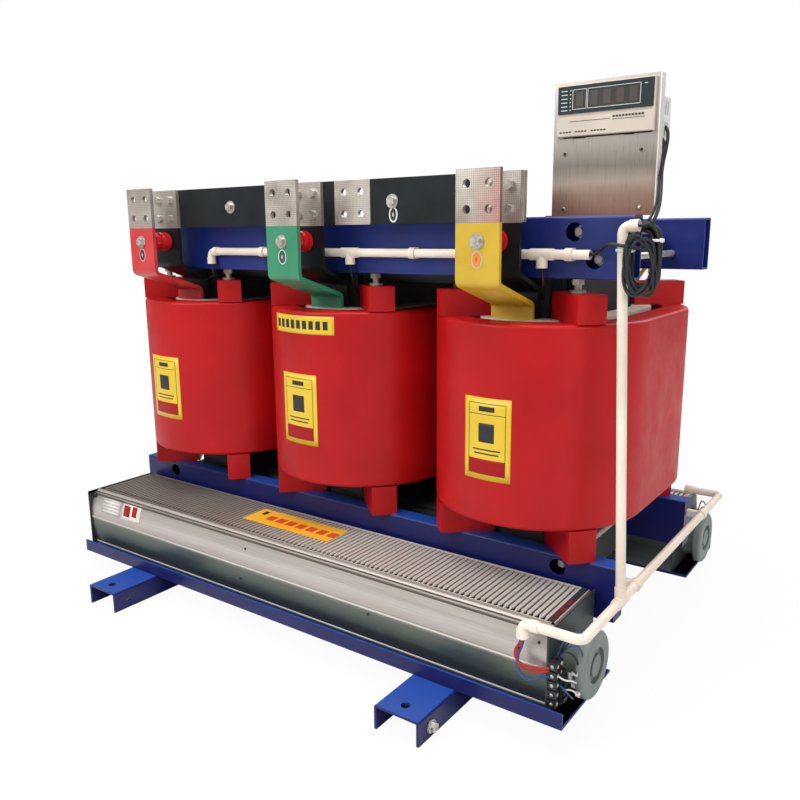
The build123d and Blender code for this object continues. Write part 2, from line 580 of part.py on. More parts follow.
def controller_body():
    """The instrument's white case behind the plate, with vent slots in both sides."""
    neck_x, neck_z, half_x, half_z = CTRL_NECK_W / 2 - 0.3, CTRL_NECK_H / 2 - 0.3, CTRL_BODY_W / 2, CTRL_BODY_H / 2
    back = CTRL_Y + CTRL_BODY_D
    body = block(CTRL_X - neck_x, CTRL_X + neck_x, CTRL_Y, CTRL_Y + 6, CTRL_NECK_Z - neck_z, CTRL_NECK_Z + neck_z)
    body += block(CTRL_X - half_x, CTRL_X + half_x, CTRL_Y + CTRL_T, back, CTRL_BODY_Z - half_z, CTRL_BODY_Z + half_z)
    slots = [block(x - 2, x + 2, back - 20 - 13 * k, back - 14 - 13 * k, CTRL_BODY_Z + z - 13, CTRL_BODY_Z + z + 13)
             for x in (CTRL_X - half_x, CTRL_X + half_x) for z in (-20, 20) for k in range(3)]
    return body - slots


def controller_bezel():
    """The instrument's frame against the plate, with a shallow recess for its display."""
    body = block(CTRL_X - BEZEL_W / 2, CTRL_X + BEZEL_W / 2, CTRL_Y - BEZEL_D, CTRL_Y, BEZEL_Z0, BEZEL_TOP)
    body = fillet(body.edges().group_by(Axis.Y)[0], 2)
    return body - display_place(0.0, 2.0)


def display_place(gap, deep):
    y = CTRL_Y - BEZEL_D
    return block(CTRL_X - BEZEL_W / 2 + 5 + gap, CTRL_X + BEZEL_W / 2 - 5 - gap, y, y + deep,
                 BEZEL_TOP - 60 + gap, BEZEL_TOP - 5 - gap)


# ---- conduit ----
def conduit_front():
    """Plastic conduit along the front upper clamp: elbow down at the left, two tees, open right end."""
    y, z = PIPE_Y, PIPE_Z
    points = [(PIPE_X0, y, z - 34), (PIPE_X0, y, z), (PIPE_X1, y, z)]
    body = tube(points, PIPE_R, 14)
    body += rod((PIPE_X0 + 14, y, z), (PIPE_X0 + 30, y, z), 12)
    body += rod((PIPE_X0, y, z - 34), (PIPE_X0, y, z - 15), 12)
    hollow = [rod((PIPE_X0 + 14, y, z), (PIPE_X1 + 1, y, z), BORE_R), rod((PIPE_X0, y, z - 35), (PIPE_X0, y, z - 12), BORE_R)]
    for x in TEES:
        body += rod((x - 26, y, z), (x + 26, y, z), 12) + rod((x, y, z), (x, y, z - 28), 12)
        hollow.append(rod((x, y, z), (x, y, z - 29), BORE_R))
    return body - hollow


def riser_foot():
    """Where the riser meets the top of the tee's branch, along its own lean."""
    centre = Vector(END_X, RISER_Y, END_Z)
    return centre + (Vector(*RISER_TOP) - centre).normalized() * 28


def conduit_riser():
    """The leaning riser: a tee's branch below, an elbow with an open end at the top."""
    x, y, z = RISER_TOP
    body = tube([tuple(riser_foot()), (x, y, z), (x + 32, y, z + 2)], PIPE_R, 14)
    body += rod((x + 15, y, z + 1), (x + 32, y, z + 2), 12)
    return body - rod((x + 12, y, z + 0.8), (x + 33, y, z + 2.1), BORE_R)


def conduit_end():
    """The pipe past the right ends of both fans: an elbow at each end, a tee for the riser, open mouths."""
    x, z, front, rear = END_X, END_Z, END_X - 122, END_X - 96
    points = [(front, END_Y0, z - 30), (front, END_Y0, z), (x, END_Y0, z), (x, END_Y1, z), (rear, END_Y1, z)]
    body = tube(points, PIPE_R, 16)
    body += rod((front, END_Y0, z - 30), (front, END_Y0, z - 14), 12) + rod((rear, END_Y1, z), (rear + 20, END_Y1, z), 12)
    body += rod((front + 18, END_Y0, z), (front + 34, END_Y0, z), 12)
    body += rod((x, RISER_Y - 24, z), (x, RISER_Y + 24, z), 12) + rod((x, RISER_Y, z), tuple(riser_foot()), 12)
    body -= rod((front, END_Y0, z - 31), (front, END_Y0, z - 12), BORE_R)
    return body - rod((rear - 1, END_Y1, z), (rear + 30, END_Y1, z), BORE_R)


def conduit_clips():
    """Saddle clips that hold the conduit to the clamps."""
    out = []
    for x in CLIPS:
        y, z, w = PIPE_Y, PIPE_Z, 8
        body = block(x - w, x + w, y, -CLAMP_OUT, z - 13, z + 13) + rod((x - w, y, z), (x + w, y, z), 13)
        out.append(body - rod((x - w - 1, y, z), (x + w + 1, y, z), PIPE_R + FIT))
    for y in (-CLAMP_OUT + 25, CLAMP_OUT - 25):
        body = block(CLAMP_HALF_X, END_X, y - 8, y + 8, END_Z - 8, END_Z + 8)
        body += rod((END_X, y - 8, END_Z), (END_X, y + 8, END_Z), 13)
        out.append(body - rod((END_X, y - 9, END_Z), (END_X, y + 9, END_Z), PIPE_R + FIT))
    return join(out)


def cable():
    """Two runs of the control cable: conduit to hank, and hank to the instrument's side."""
    for points in (CABLE_IN, CABLE_OUT):
        print("cable bend radii", [round(r, 1) for r in radii(points, CABLE_BEND)])
    return join(tube(points, CABLE_R, CABLE_BEND) for points in (CABLE_IN, CABLE_OUT))


def cable_hank():
    """The spare cable's coil as one closed ring, taller than wide."""
    x, y, z = HANK
    ring = Plane(origin=(x, y, z), x_dir=(0, 0, 1), z_dir=(0, -1, 0)) * SlotCenterToCenter(
        2 * (HANK_HALF_H - HANK_HALF_W), 2 * HANK_HALF_W)
    wire = ring.face().outer_wire()
    start = Plane(origin=wire @ 0, z_dir=wire % 0)
    return sweep(start * Circle(HANK_R), path=wire)


for side, word in ((-1, "left"), (1, "right")):
    save(f"base_channel_{word}", base_channel(side))
save("clamp_feet", feet())
save("base_bolts", join(foot_bolts() + [earth_bolt()]))
for level, z0, rods, capped in (("lower", LOW_CLAMP_Z, LOW_RODS, True), ("upper", HIGH_CLAMP_Z, HIGH_RODS, False)):
    front = clamp(z0, rods, capped)
    save(f"{level}_clamp_front", front)
    save(f"{level}_clamp_rear", mirror_y(front))
save("laminated_core", core())
save("yoke_insulation", yoke_insulation())
save("tie_rods", tie_rods())
save("support_blocks", coil_blocks(LOW_CLAMP_TOP, COIL_Z0))
save("pressing_blocks", coil_blocks(COIL_Z1, PRESS_BLOCK_TOP))
save("pressing_bolts", pressing_bolts())
lv, hv = lv_coil(), hv_coil()
for x, word in ((-PITCH, "left"), (0, "middle"), (PITCH, "right")):
    save(f"lv_coil_{word}", Pos(x, 0, 0) * lv)
    save(f"hv_coil_{word}", Pos(x, 0, 0) * hv)
for x, colour in ((-PITCH, "red"), (0, "green"), (PITCH, "yellow")):
    save(f"lv_bar_{colour}", lv_bar(x + BAR_X))
for x, word in ((-PITCH, "left"), (0, "middle"), (PITCH, "right")):
    save(f"neutral_bar_{word}", drop_bar(x + BAR_X, x + BAR_X))
save("neutral_bus", neutral_bus())
save("neutral_bolts", neutral_bolts())
save("bar_posts", bar_posts())
save("bus_posts", bus_posts())
save("bus_brackets", bus_brackets())
save("post_bolts", post_bolts())
for word, turn in (("front", lambda shape: shape), ("rear", mirror_y)):
    save(f"fan_tray_{word}", turn(fan_tray()))
    save(f"fan_case_{word}", turn(fan_case()))
    save(f"fan_grille_{word}", turn(fan_grille()))
    save(f"fan_impeller_{word}", turn(fan_impeller()))
    save(f"fan_motor_{word}", turn(fan_motor()))
save("fan_end_plates", join(fan_end_plates() + [mirror_y(plate) for plate in fan_end_plates()]))
save("fan_terminal_blocks", terminal_blocks())
save("controller_plate", controller_plate())
save("controller_body", controller_body())
save("controller_bezel", controller_bezel())
save("controller_display", display_place(0.3, 2.0))
save("conduit_front", conduit_front())
save("conduit_riser", conduit_riser())
save("conduit_end", conduit_end())
save("conduit_clips", conduit_clips())
save("control_cable", cable())
save("cable_hank", cable_hank())
save("hv_terminals", hv_terminals())
save("hv_tap_links", hv_tap_links())
save("hv_short_links", hv_short_links())
save("hv_long_link", hv_long_link())
save("hv_leads", hv_leads())
save("hv_posts", hv_posts())
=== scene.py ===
# %% [markdown]
# # A cast resin dry type transformer
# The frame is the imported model: every casting, bar and bolt is already in its place there. This
# script dresses it with finishes and adds the thin things that a solid modeller does badly: cables,
# guard slats, labels, seams and small wires. Everything is in metres, in the frame's own axes: X
# runs along the fans, Y from the front to the rear, and Z up.

# %% Load the frame
import bpy
import json
import numpy as np
from math import radians, pi
from mathutils import Matrix, Vector


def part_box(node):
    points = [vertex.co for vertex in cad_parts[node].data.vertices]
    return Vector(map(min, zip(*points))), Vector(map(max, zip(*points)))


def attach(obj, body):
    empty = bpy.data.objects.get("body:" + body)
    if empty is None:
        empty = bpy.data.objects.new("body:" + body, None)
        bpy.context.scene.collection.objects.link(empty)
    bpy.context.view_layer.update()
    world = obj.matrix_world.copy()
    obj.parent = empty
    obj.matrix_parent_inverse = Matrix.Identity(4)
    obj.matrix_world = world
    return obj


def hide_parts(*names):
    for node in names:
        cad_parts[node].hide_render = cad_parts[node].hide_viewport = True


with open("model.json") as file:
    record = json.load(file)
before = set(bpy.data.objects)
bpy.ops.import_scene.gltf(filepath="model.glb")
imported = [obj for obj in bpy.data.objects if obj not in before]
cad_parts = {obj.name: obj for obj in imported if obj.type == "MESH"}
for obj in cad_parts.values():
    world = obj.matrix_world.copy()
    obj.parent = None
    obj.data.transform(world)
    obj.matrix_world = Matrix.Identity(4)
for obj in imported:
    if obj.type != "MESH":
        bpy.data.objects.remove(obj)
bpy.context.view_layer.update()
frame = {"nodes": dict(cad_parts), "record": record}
nodes = frame["nodes"]


def low_high(*names):
    """The lowest and the highest corner of some nodes together."""
    corners = np.array([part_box(name) for name in names])
    return corners[:, 0].min(0), corners[:, 1].max(0)


# %% [markdown]
# ## Pieces from arrays
# A piece that the frame lacks is a mesh worked out as whole arrays of points. It could be built
# vertex by vertex, but an array says the shape in one line. The simplest kind is a grid: each
# point's neighbours along the rows and the columns give its faces, so one helper joins every grid.

# %% Grids
FIXED = "frame"


def place(piece, material):
    """Give a piece its finish and fix it to the frame."""
    piece.data.materials.append(material)
    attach(piece, FIXED)
    return piece


def mesh_piece(name, points, faces, smooth=True):
    """One object from an array of points and lists of the point numbers that its faces join."""
    mesh = bpy.data.meshes.new(name)
    mesh.from_pydata(np.asarray(points, float).reshape(-1, 3).tolist(), [], faces)
    mesh.update()
    mesh.polygons.foreach_set("use_smooth", np.full(len(mesh.polygons), smooth))
    piece = bpy.data.objects.new(name, mesh)
    bpy.context.scene.collection.objects.link(piece)
    return piece


def grid_faces(rows, columns, close_columns=False):
    """Quads between neighbours on a grid: row i with row i + 1, column j with column j + 1."""
    i = np.arange(rows - 1)[:, None] * columns
    j = np.arange(columns if close_columns else columns - 1)[None, :]
    j2 = (j + 1) % columns
    return np.stack([i + j, i + j2, i + columns + j2, i + columns + j], -1).reshape(-1, 4)


def grid_piece(name, grid, close_columns=False, smooth=True, flip=False):
    """A surface on a grid of points; flip turns its faces to the other side."""
    faces = grid_faces(grid.shape[0], grid.shape[1], close_columns)
    return mesh_piece(name, grid, (faces[:, ::-1] if flip else faces).tolist(), smooth)


def thicken(piece, thickness, offset):
    """A wall for a surface: offset -1 puts it wholly inside, 0 half on each side."""
    wall = piece.modifiers.new("wall", "SOLIDIFY")
    wall.thickness, wall.offset = thickness, offset


print("grid helpers ready")

# %% [markdown]
# ## Blocks
# Slats, terminals and printed marks are small square blocks, often many alike. A cube object for
# each would crowd the scene, so one mesh holds a whole set: every centre plus the eight corners of
# a cube, each times its own size.

# %% Blocks
BOX_CORNERS = np.array([[x, y, z] for x in (-.5, .5) for y in (-.5, .5) for z in (-.5, .5)])
BOX_FACES = np.array([[0, 1, 3, 2], [4, 6, 7, 5], [0, 4, 5, 1], [2, 3, 7, 6], [0, 2, 6, 4], [1, 5, 7, 3]])


def boxes(name, centres, sizes):
    """Many plain blocks in one mesh: every centre plus every corner times its size."""
    centres = np.asarray(centres, float).reshape(-1, 3)
    sizes = np.broadcast_to(np.asarray(sizes, float), centres.shape)
    points = centres[:, None, :] + BOX_CORNERS[None] * sizes[:, None, :]
    faces = BOX_FACES[None] + len(BOX_CORNERS) * np.arange(len(centres))[:, None, None]
    return mesh_piece(name, points, faces.reshape(-1, 4).tolist(), smooth=False)


def block_sets(*sets):
    """Centres and sizes for boxes, from sets that each pair some centres with the one size they share."""
    centres = [centre for places, _ in sets for centre in places]
    return centres, [size for places, size in sets for _ in places]


print("block helpers ready")

# %% [markdown]
# ## Wires
# A wire is a circle carried along a path. A curve object could do it, but an array lets one mesh
# hold a whole bundle with closed ends. A path is a few given points, whose corners are rounded by
# parabolas. A screw head is the same thing on a very short straight path.

# %% Wires and screw heads
def tubes(name, paths, radius, sides=12):
    """Round wires: at every step of each path, a ring of points in the plane square to the path."""
    rings, faces, count = [], [], 0
    turn = np.linspace(0, 2 * pi, sides, endpoint=False)[None, :, None]
    for path in paths:
        path = np.asarray(path, float)
        along = np.gradient(path, axis=0)
        along /= np.linalg.norm(along, axis=1, keepdims=True)
        up = np.where(np.abs(along[:, 2:]) > 0.9, [[1.0, 0.3, 0]], [[0, 0, 1.0]])
        side = np.cross(along, up)
        side /= np.linalg.norm(side, axis=1, keepdims=True)
        top = np.cross(side, along)
        ring = path[:, None] + radius * (np.cos(turn) * side[:, None] + np.sin(turn) * top[:, None])
        rings.append(ring.reshape(-1, 3))
        faces += (grid_faces(len(path), sides, close_columns=True)[:, ::-1] + count).tolist()
        after = count + len(path) * sides
        faces += [list(range(count, count + sides)), list(range(after - 1, after - sides - 1, -1))]
        count = after
    return mesh_piece(name, np.concatenate(rings), faces)


def soft_path(points, steps=10):
    """A smooth path: each corner becomes a parabola from one run's middle to the next one's."""
    p = np.asarray(points, float)
    middles = (p[:-1] + p[1:]) / 2
    start = np.concatenate([p[:1], middles[1:]])[:len(p) - 2]
    end = np.concatenate([middles[1:-1], p[-1:]])
    t = np.linspace(0, 1, steps, endpoint=False)[None, :, None]
    arcs = (1 - t) ** 2 * start[:, None] + 2 * t * (1 - t) * p[1:-1, None] + t ** 2 * end[:, None]
    return np.concatenate([arcs.reshape(-1, 3), p[-1:]])


def path_length(path):
    """The sum of the distances between a path's points."""
    return float(np.linalg.norm(np.diff(path, axis=0), axis=1).sum())


def heads(name, places, radius, depth, toward, material):
    """Round screw heads: each is a short closed cylinder that stands out along one axis."""
    paths = [np.array([p, np.array(p) + np.array(toward) * depth]) for p in places]
    return place(tubes(name, paths, radius, 16), material)


print("wire helpers ready")

# %% [markdown]
# ## Finishes from nodes
# Each finish begins as the Principled shader, with its even values set on the shader itself, and
# then patterns change its colour, its roughness or its relief. They read Object coordinates, which
# is right here because every piece keeps its place inside its mesh.

# %% Finish helpers
def tint(colour):
    """sRGB from 0 to 255 made linear, with alpha 1."""
    c = np.asarray(colour, float) / 255
    linear = np.where(c <= 0.04045, c / 12.92, ((c + 0.055) / 1.055) ** 2.4)
    return (*linear.tolist(), 1.0)


def shader_of(material):
    return material.node_tree.nodes["Principled BSDF"]


def finish(name, colour, rough=0.5, metal=0.0, **sockets):
    """A new material; sockets are the shader's further inputs, with _ for a space."""
    material = bpy.data.materials.new(name)
    material.use_nodes = True
    values = {"Base Color": tint(colour), "Roughness": rough, "Metallic": metal}
    values.update({key.replace("_", " "): value for key, value in sockets.items()})
    for key, value in values.items():
        shader_of(material).inputs[key].default_value = value
    return material


def join(material, output, target):
    material.node_tree.links.new(output, target)


def add(material, kind, **values):
    """A new node; a value sets the input of its name, or else the node's own setting."""
    made = material.node_tree.nodes.new("ShaderNode" + kind)
    for key, value in values.items():
        if key in made.inputs:
            made.inputs[key].default_value = value
        else:
            setattr(made, key, value)
    return made


def dress(material, *names):
    """Put a finish on nodes of the frame."""
    for name in names:
        data = nodes[name].data
        if not data.materials:
            data.materials.append(material)
        for index in range(len(data.materials)):
            data.materials[index] = material
    print(material.name, "on", len(names), "nodes")


def named(*starts):
    """The frame's nodes whose names begin with one of some words."""
    return [name for name in nodes if name.startswith(starts)]


# %% [markdown]
# A pattern is a number at each point of the surface: a noise, a wave along one axis, or the point's
# own coordinate. An image could hold it too, but a number worked out on the spot stays sharp from
# any distance.

# %% Patterns
def object_point(material, scale=(1, 1, 1)):
    """Object coordinates, stretched along the axes."""
    where, mapping = add(material, "TexCoord"), add(material, "Mapping")
    mapping.inputs["Scale"].default_value = scale
    join(material, where.outputs["Object"], mapping.inputs["Vector"])
    return mapping.outputs["Vector"]


def noise(material, scale, stretch=(1, 1, 1), detail=4.0, rough=0.55):
    """A cloudy pattern; a small number in stretch draws it out along that axis."""
    made = add(material, "TexNoise", Scale=scale, Detail=detail, Roughness=rough)
    join(material, object_point(material, stretch), made.inputs["Vector"])
    return made.outputs["Fac"]


def bands(material, direction, scale):
    """A sine wave along one axis."""
    made = add(material, "TexWave", wave_type="BANDS", bands_direction=direction, wave_profile="SIN",
               Scale=scale)
    join(material, object_point(material), made.inputs["Vector"])
    return made.outputs["Fac"]


def coordinate(material, axis):
    """One coordinate of the point, in metres."""
    split = add(material, "SeparateXYZ")
    join(material, add(material, "TexCoord").outputs["Object"], split.inputs["Vector"])
    return split.outputs[axis]


def spread(material, factor, low, high, low_in=0.0, high_in=1.0):
    """A value that goes from low_in to high_in, moved to go from low to high."""
    made = add(material, "MapRange")
    for key, value in (("From Min", low_in), ("From Max", high_in), ("To Min", low), ("To Max", high)):
        made.inputs[key].default_value = value
    join(material, factor, made.inputs["Value"])
    return made.outputs["Result"]


def level(material, axis, low, high):
    """A coordinate's share of the way from low to high."""
    return spread(material, coordinate(material, axis), 0.0, 1.0, float(low), float(high))


print("pattern helpers ready")

# %% [markdown]
# Numbers are then compared, mixed and turned into colours. A mask is a number that is 1 where a
# finish holds and 0 elsewhere, so two masks multiplied give the place where both hold.

# %% Masks and colours
def maths(material, operation, a, b):
    """One operation on two values, each of them a number or a socket."""
    made = add(material, "Math", operation=operation)
    for socket, value in zip(made.inputs, (a, b)):
        if isinstance(value, (int, float)):
            socket.default_value = value
        else:
            join(material, value, socket)
    return made.outputs[0]


def times(material, a, b):
    return maths(material, "MULTIPLY", a, b)


def above(material, value, limit):
    """1 where the value is greater than the limit."""
    return maths(material, "GREATER_THAN", value, float(limit))


def between(material, value, low, high):
    """1 where the value lies between two limits."""
    return times(material, above(material, value, low), maths(material, "LESS_THAN", value, float(high)))


def ramp(material, factor, stops):
    """Colours along a factor; stops are (place, sRGB colour)."""
    made = add(material, "ValToRGB")
    while len(made.color_ramp.elements) < len(stops):
        made.color_ramp.elements.new(0.5)
    for element, (where, colour) in zip(made.color_ramp.elements, stops):
        element.position = where
        element.color = tint(colour)
    join(material, factor, made.inputs["Fac"])
    return made.outputs["Color"]


def blend(material, factor, a, b, kind="MIX"):
    """Colour a where the factor is 0, colour b where it is 1; MULTIPLY darkens a by b instead."""
    made = add(material, "Mix", data_type="RGBA", blend_type=kind)
    for socket, value in ((made.inputs[0], factor), (made.inputs[6], a), (made.inputs[7], b)):
        if isinstance(value, float):
            socket.default_value = value
        elif isinstance(value, tuple):
            socket.default_value = tint(value)
        else:
            join(material, value, socket)
    return made.outputs[2]


def colour_in(material, socket):
    join(material, socket, shader_of(material).inputs["Base Color"])


def mottle(material, factor, dark, light, low=0.3, high=0.7):
    """Colour that goes from dark to light where a factor goes from low to high."""
    colour_in(material, ramp(material, factor, [(low, dark), (high, light)]))


def rough_in(material, factor, low, high):
    """Roughness that moves between two values with a noise."""
    join(material, spread(material, factor, low, high, 0.3, 0.7), shader_of(material).inputs["Roughness"])


def relief(material, height, strength, depth):
    """Bumps from a pattern, whose full height is the depth in metres."""
    made = add(material, "Bump", Strength=strength, Distance=depth)
    join(material, height, made.inputs["Height"])
    join(material, made.outputs["Normal"], shader_of(material).inputs["Normal"])


print("colour helpers ready")

# %% [markdown]
# ## Enamels
# The clamps, channels and trays are welded steel with a thick blue enamel, and the coils are red
# cast resin. Such a surface is never quite even: its tone drifts over a hand's breadth and it has a
# fine orange peel. One flat colour would look like a toy, so a slow noise moves the tone and a fast
# one makes the peel. Blue faces that look up take a lighter blue, painted sky light that the piece's
# own normal picks, and the low parts take a darker copy of the blue: painted shade.

# %% Blue enamel and cast resin
def enamel(name, light, dark, rough=0.34, peel=0.05, drift=3.0, coat=0.25, **sockets):
    """Enamel whose tone drifts between two colours, with a fine peel in its relief."""
    material = finish(name, light, rough, Coat_Weight=coat, Coat_Roughness=0.18, **sockets)
    mottle(material, noise(material, drift, detail=3.0), dark, light, 0.35, 0.68)
    rough_in(material, noise(material, 18.0), rough - 0.06, rough + 0.10)
    relief(material, noise(material, 420.0, detail=2.0), peel, 0.0006)
    return material


def paint_sky_light_on_tops(material, colour):
    """Painted sky light: faces that look up take a lighter second colour, the Z of the object's own normal
    giving the share.
    """
    split = add(material, "SeparateXYZ")
    join(material, add(material, "TexCoord").outputs["Normal"], split.inputs["Vector"])
    up = spread(material, split.outputs["Z"], 0.0, 1.0, 0.55, 0.95)
    now = shader_of(material).inputs["Base Color"].links[0].from_socket
    colour_in(material, blend(material, up, now, colour))


# The lighter blue that faces looking up take: painted sky light.
PAINTED_SKY_LIGHT_BLUE = (34, 72, 156)
blue = enamel("blue enamel", (16, 42, 118), (18, 32, 98), coat=0.08, Specular_IOR_Level=0.4)
# A darker, duller copy of the same blue enamel for the low parts: painted shade.
low_painted_shade_blue = enamel("low blue enamel", (20, 26, 92), (18, 20, 78), coat=0.06, Specular_IOR_Level=0.3)
# Both blues get painted sky light on the faces that look up.
for material in (blue, low_painted_shade_blue):
    paint_sky_light_on_tops(material, PAINTED_SKY_LIGHT_BLUE)
red_resin = enamel("red cast resin", (182, 14, 18), (166, 10, 14), rough=0.42, peel=0.08, drift=5.0,
                   coat=0.04, Specular_IOR_Level=0.22)
dress(blue, *named("upper_clamp"), "bus_brackets")
# Channels, lower clamps, trays and feet take the darker copy of the blue: painted shade.
dress(low_painted_shade_blue, *named("base_channel", "lower_clamp", "fan_tray"), "clamp_feet")
dress(red_resin, *named("hv_coil"), "support_blocks", "pressing_blocks")

# %% [markdown]
# ## Core, inner windings and pressboard
# The core is a stack of thin sheets, so its ends show fine lines across the stack's depth. The
# sheets could be modelled one by one, but there are hundreds, so a wave on the depth draws them.
# The inner windings are foil in pale resin paper, and a wave on the height draws its layers.

# %% Core and inner windings
core_black = finish("laminated core", (34, 36, 40), 0.62)
sheets = bands(core_black, "Y", 75.0)
mottle(core_black, sheets, (24, 26, 30), (44, 46, 50), 0.1, 0.9)
relief(core_black, sheets, 0.35, 0.001)
dress(core_black, "laminated_core")

pale_winding = finish("inner winding", (206, 198, 180), 0.55)
mottle(pale_winding, noise(pale_winding, 9.0, (1, 1, 6)), (186, 176, 156), (214, 208, 194))
relief(pale_winding, bands(pale_winding, "Z", 30.0), 0.1, 0.001)
dress(pale_winding, *named("lv_coil"))

pressboard = finish("pressboard", (176, 150, 108), 0.85)
mottle(pressboard, noise(pressboard, 60.0), (158, 132, 94), (190, 164, 122))
dress(pressboard, "yoke_insulation")

# %% [markdown]
# ## Painted bars with tinned ends
# Each bar is dipped in tin at its upper end and painted in its phase colour below. Two materials
# could share a bar, but it is one solid, and the border is a straight masked line at one height. So
# the height itself is the mask. Tin over rolled copper shows a faint square weave from the rolling,
# which two crossed waves make. The yellow bar's pad also turns pink: a painted reflection of the red
# coils.

# %% Bars
PAD_LOW = float(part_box("neutral_bus")[0][2]) - 0.002
# The last colour here is the pink of a painted reflection of the red coils.
TINNED_LIGHT, TINNED_DARK, PAINTED_REFLECTION_PINK = (222, 214, 204), (158, 146, 134), (186, 72, 84)
FAR = 9.0


def tinned_colour(material):
    """Tin with a fine square weave and slow dull patches; the weave is given too, for the relief."""
    weave = times(material, bands(material, "X", 74.0), bands(material, "Z", 74.0))
    patches = times(material, noise(material, 14.0), 0.8)
    tone = maths(material, "ADD", times(material, weave, 0.45), patches)
    return ramp(material, tone, [(0.24, TINNED_DARK), (0.82, TINNED_LIGHT)]), weave


def with_painted_reflection(material, tin, x, z, sides):
    """Painted reflection of the red coils: tin that turns pink from one X to another and fades upwards."""
    share = spread(material, x, 0.0, 0.6, *sides)
    fading = spread(material, z, 1.0, 0.3, PAD_LOW, PAD_LOW + 0.10)
    return blend(material, times(material, share, fading), tin, PAINTED_REFLECTION_PINK)


def bar_finish(name, light, dark, left=-FAR, right=FAR, beyond=FAR, reflection_span=None, shine=0.5):
    """Paint, but tin over the pads' lower edge between left and right, and past beyond."""
    material = finish(name, light, 0.4, Coat_Weight=0.2 * shine, Specular_IOR_Level=shine)
    z, x = coordinate(material, "Z"), coordinate(material, "X")
    across = maths(material, "MAXIMUM", between(material, x, left, right), above(material, x, beyond))
    mask = times(material, across, above(material, z, PAD_LOW))
    tin, weave = tinned_colour(material)
    # The pink over the tin is a painted reflection of the red coils.
    if reflection_span:
        tin = with_painted_reflection(material, tin, x, z, reflection_span)
    paint = ramp(material, noise(material, 12.0), [(0.3, dark), (0.7, light)])
    colour_in(material, blend(material, mask, paint, tin))
    join(material, times(material, mask, 0.75), shader_of(material).inputs["Metallic"])
    rough_in(material, noise(material, 30.0), 0.32, 0.46)
    relief(material, weave, 0.12, 0.0005)
    return material


print("bars are tinned above", round(PAD_LOW, 3))

# %% [markdown]
# The three phase bars are tinned over their whole width. The neutral bus is black, with one tinned
# pad near its middle and a tinned end behind the yellow bar, so its mask is cut in X as well.

# %% Dress the bars
PAD_HALF = 0.053
BUS_END_X = float(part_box("lv_bar_yellow")[0][0])
pad_x = [mount["pos_m"][0] for mount in frame["record"]["mounts"] if mount["name"] == "neutral_pad"][0]
# The yellow bar's pair of X values is where the painted reflection of the red coils falls.
for name, light, dark, reflection_span in (("yellow", (206, 170, 44), (192, 156, 36), (0.475, 0.545)),
                                 ("green", (54, 140, 104), (46, 126, 92), None),
                                 ("red", (200, 58, 58), (184, 46, 48), None)):
    dress(bar_finish(name + " bar", light, dark, reflection_span=reflection_span), "lv_bar_" + name)
dress(bar_finish("black bar", (26, 29, 31), (20, 22, 24), shine=0.2), *named("neutral_bar_"))
dress(bar_finish("black bus", (30, 35, 38), (22, 26, 29), left=pad_x - PAD_HALF, right=pad_x + PAD_HALF,
                 beyond=BUS_END_X, shine=0.2), "neutral_bus")

# %% [markdown]
# ## Bare metals
# Zinc plated bolts are bright with a soft mottle. Sheet metal is brushed, with long fine scratches
# along one axis. A plain noise has no direction, so it is stretched hard along that axis.

# %% Zinc and brushed sheet
zinc = finish("zinc plate", (196, 192, 184), 0.34, 0.6)
mottle(zinc, noise(zinc, 90.0), (160, 154, 144), (216, 212, 204))
dress(zinc, "base_bolts", "tie_rods", "pressing_bolts", "neutral_bolts", "post_bolts")
ALONG_X, ALONG_Y, ALONG_Z = (3, 500, 500), (200, 3, 200), (900, 900, 22)


def brushed(name, light, dark, stretch, rough=0.34, metal=0.8):
    """Metal with long fine scratches along one axis."""
    material = finish(name, light, rough, metal)
    lines = noise(material, 1.0, stretch, detail=6.0, rough=0.7)
    mottle(material, lines, dark, light)
    rough_in(material, lines, rough - 0.08, rough + 0.14)
    relief(material, lines, 0.08, 0.0003)
    return material


dress(brushed("bright aluminium", (214, 211, 206), (176, 172, 168), ALONG_X), *named("fan_impeller_"))
dark_metal = brushed("dark end plate", (66, 78, 76), (48, 58, 58), ALONG_Y, rough=0.42, metal=0.5)
dress(dark_metal, "fan_end_plates")

# %% [markdown]
# A rolled housing mirrors the room: a pale wall over its middle and dark ground below. Three soft
# lamps and a white floor can't give that, so the tone is a painted reflection that follows the
# height, with painted shade under the rail at the top, and the scratches darken it. The
# controller's plate is made the same way, brushed upright: its tone is a painted reflection that
# browns towards its foot, with a painted highlight along its right edge.

# %% Housings, controller plate and motors
def mirrored(material, tone, lines, grey, share):
    """A tone multiplied by scratches, whose darkest grey is given, as far as the share says."""
    streak = ramp(material, lines, [(0.3, (grey, grey, grey)), (0.7, (255, 255, 255))])
    return blend(material, share, tone, streak, kind="MULTIPLY")


CASE_LOW, CASE_HIGH = low_high("fan_case_front")
case_metal = finish("rolled aluminium", (196, 192, 188), 0.36, 0.65)
lines = noise(case_metal, 1.0, ALONG_X, detail=6.0, rough=0.7)
height = level(case_metal, "Z", CASE_LOW[2], CASE_HIGH[2])
# Painted reflection down the height: dark ground low, a pale wall over the middle, and painted shade under
# the rail at the top.
tone = ramp(case_metal, height, [
    (0.0, (128, 134, 132)), (0.14, (92, 102, 102)), (0.36, (76, 88, 82)), (0.52, (104, 112, 102)),
    (0.565, (150, 146, 138)), (0.60, (180, 171, 163)), (0.76, (208, 201, 195)), (0.90, (200, 192, 185)),
    (1.0, (168, 158, 150))])
colour_in(case_metal, mirrored(case_metal, tone, lines, 196, 0.6))
rough_in(case_metal, lines, 0.26, 0.44)
dress(case_metal, *named("fan_case_"))

PLATE_LOW, PLATE_HIGH = low_high("controller_plate")
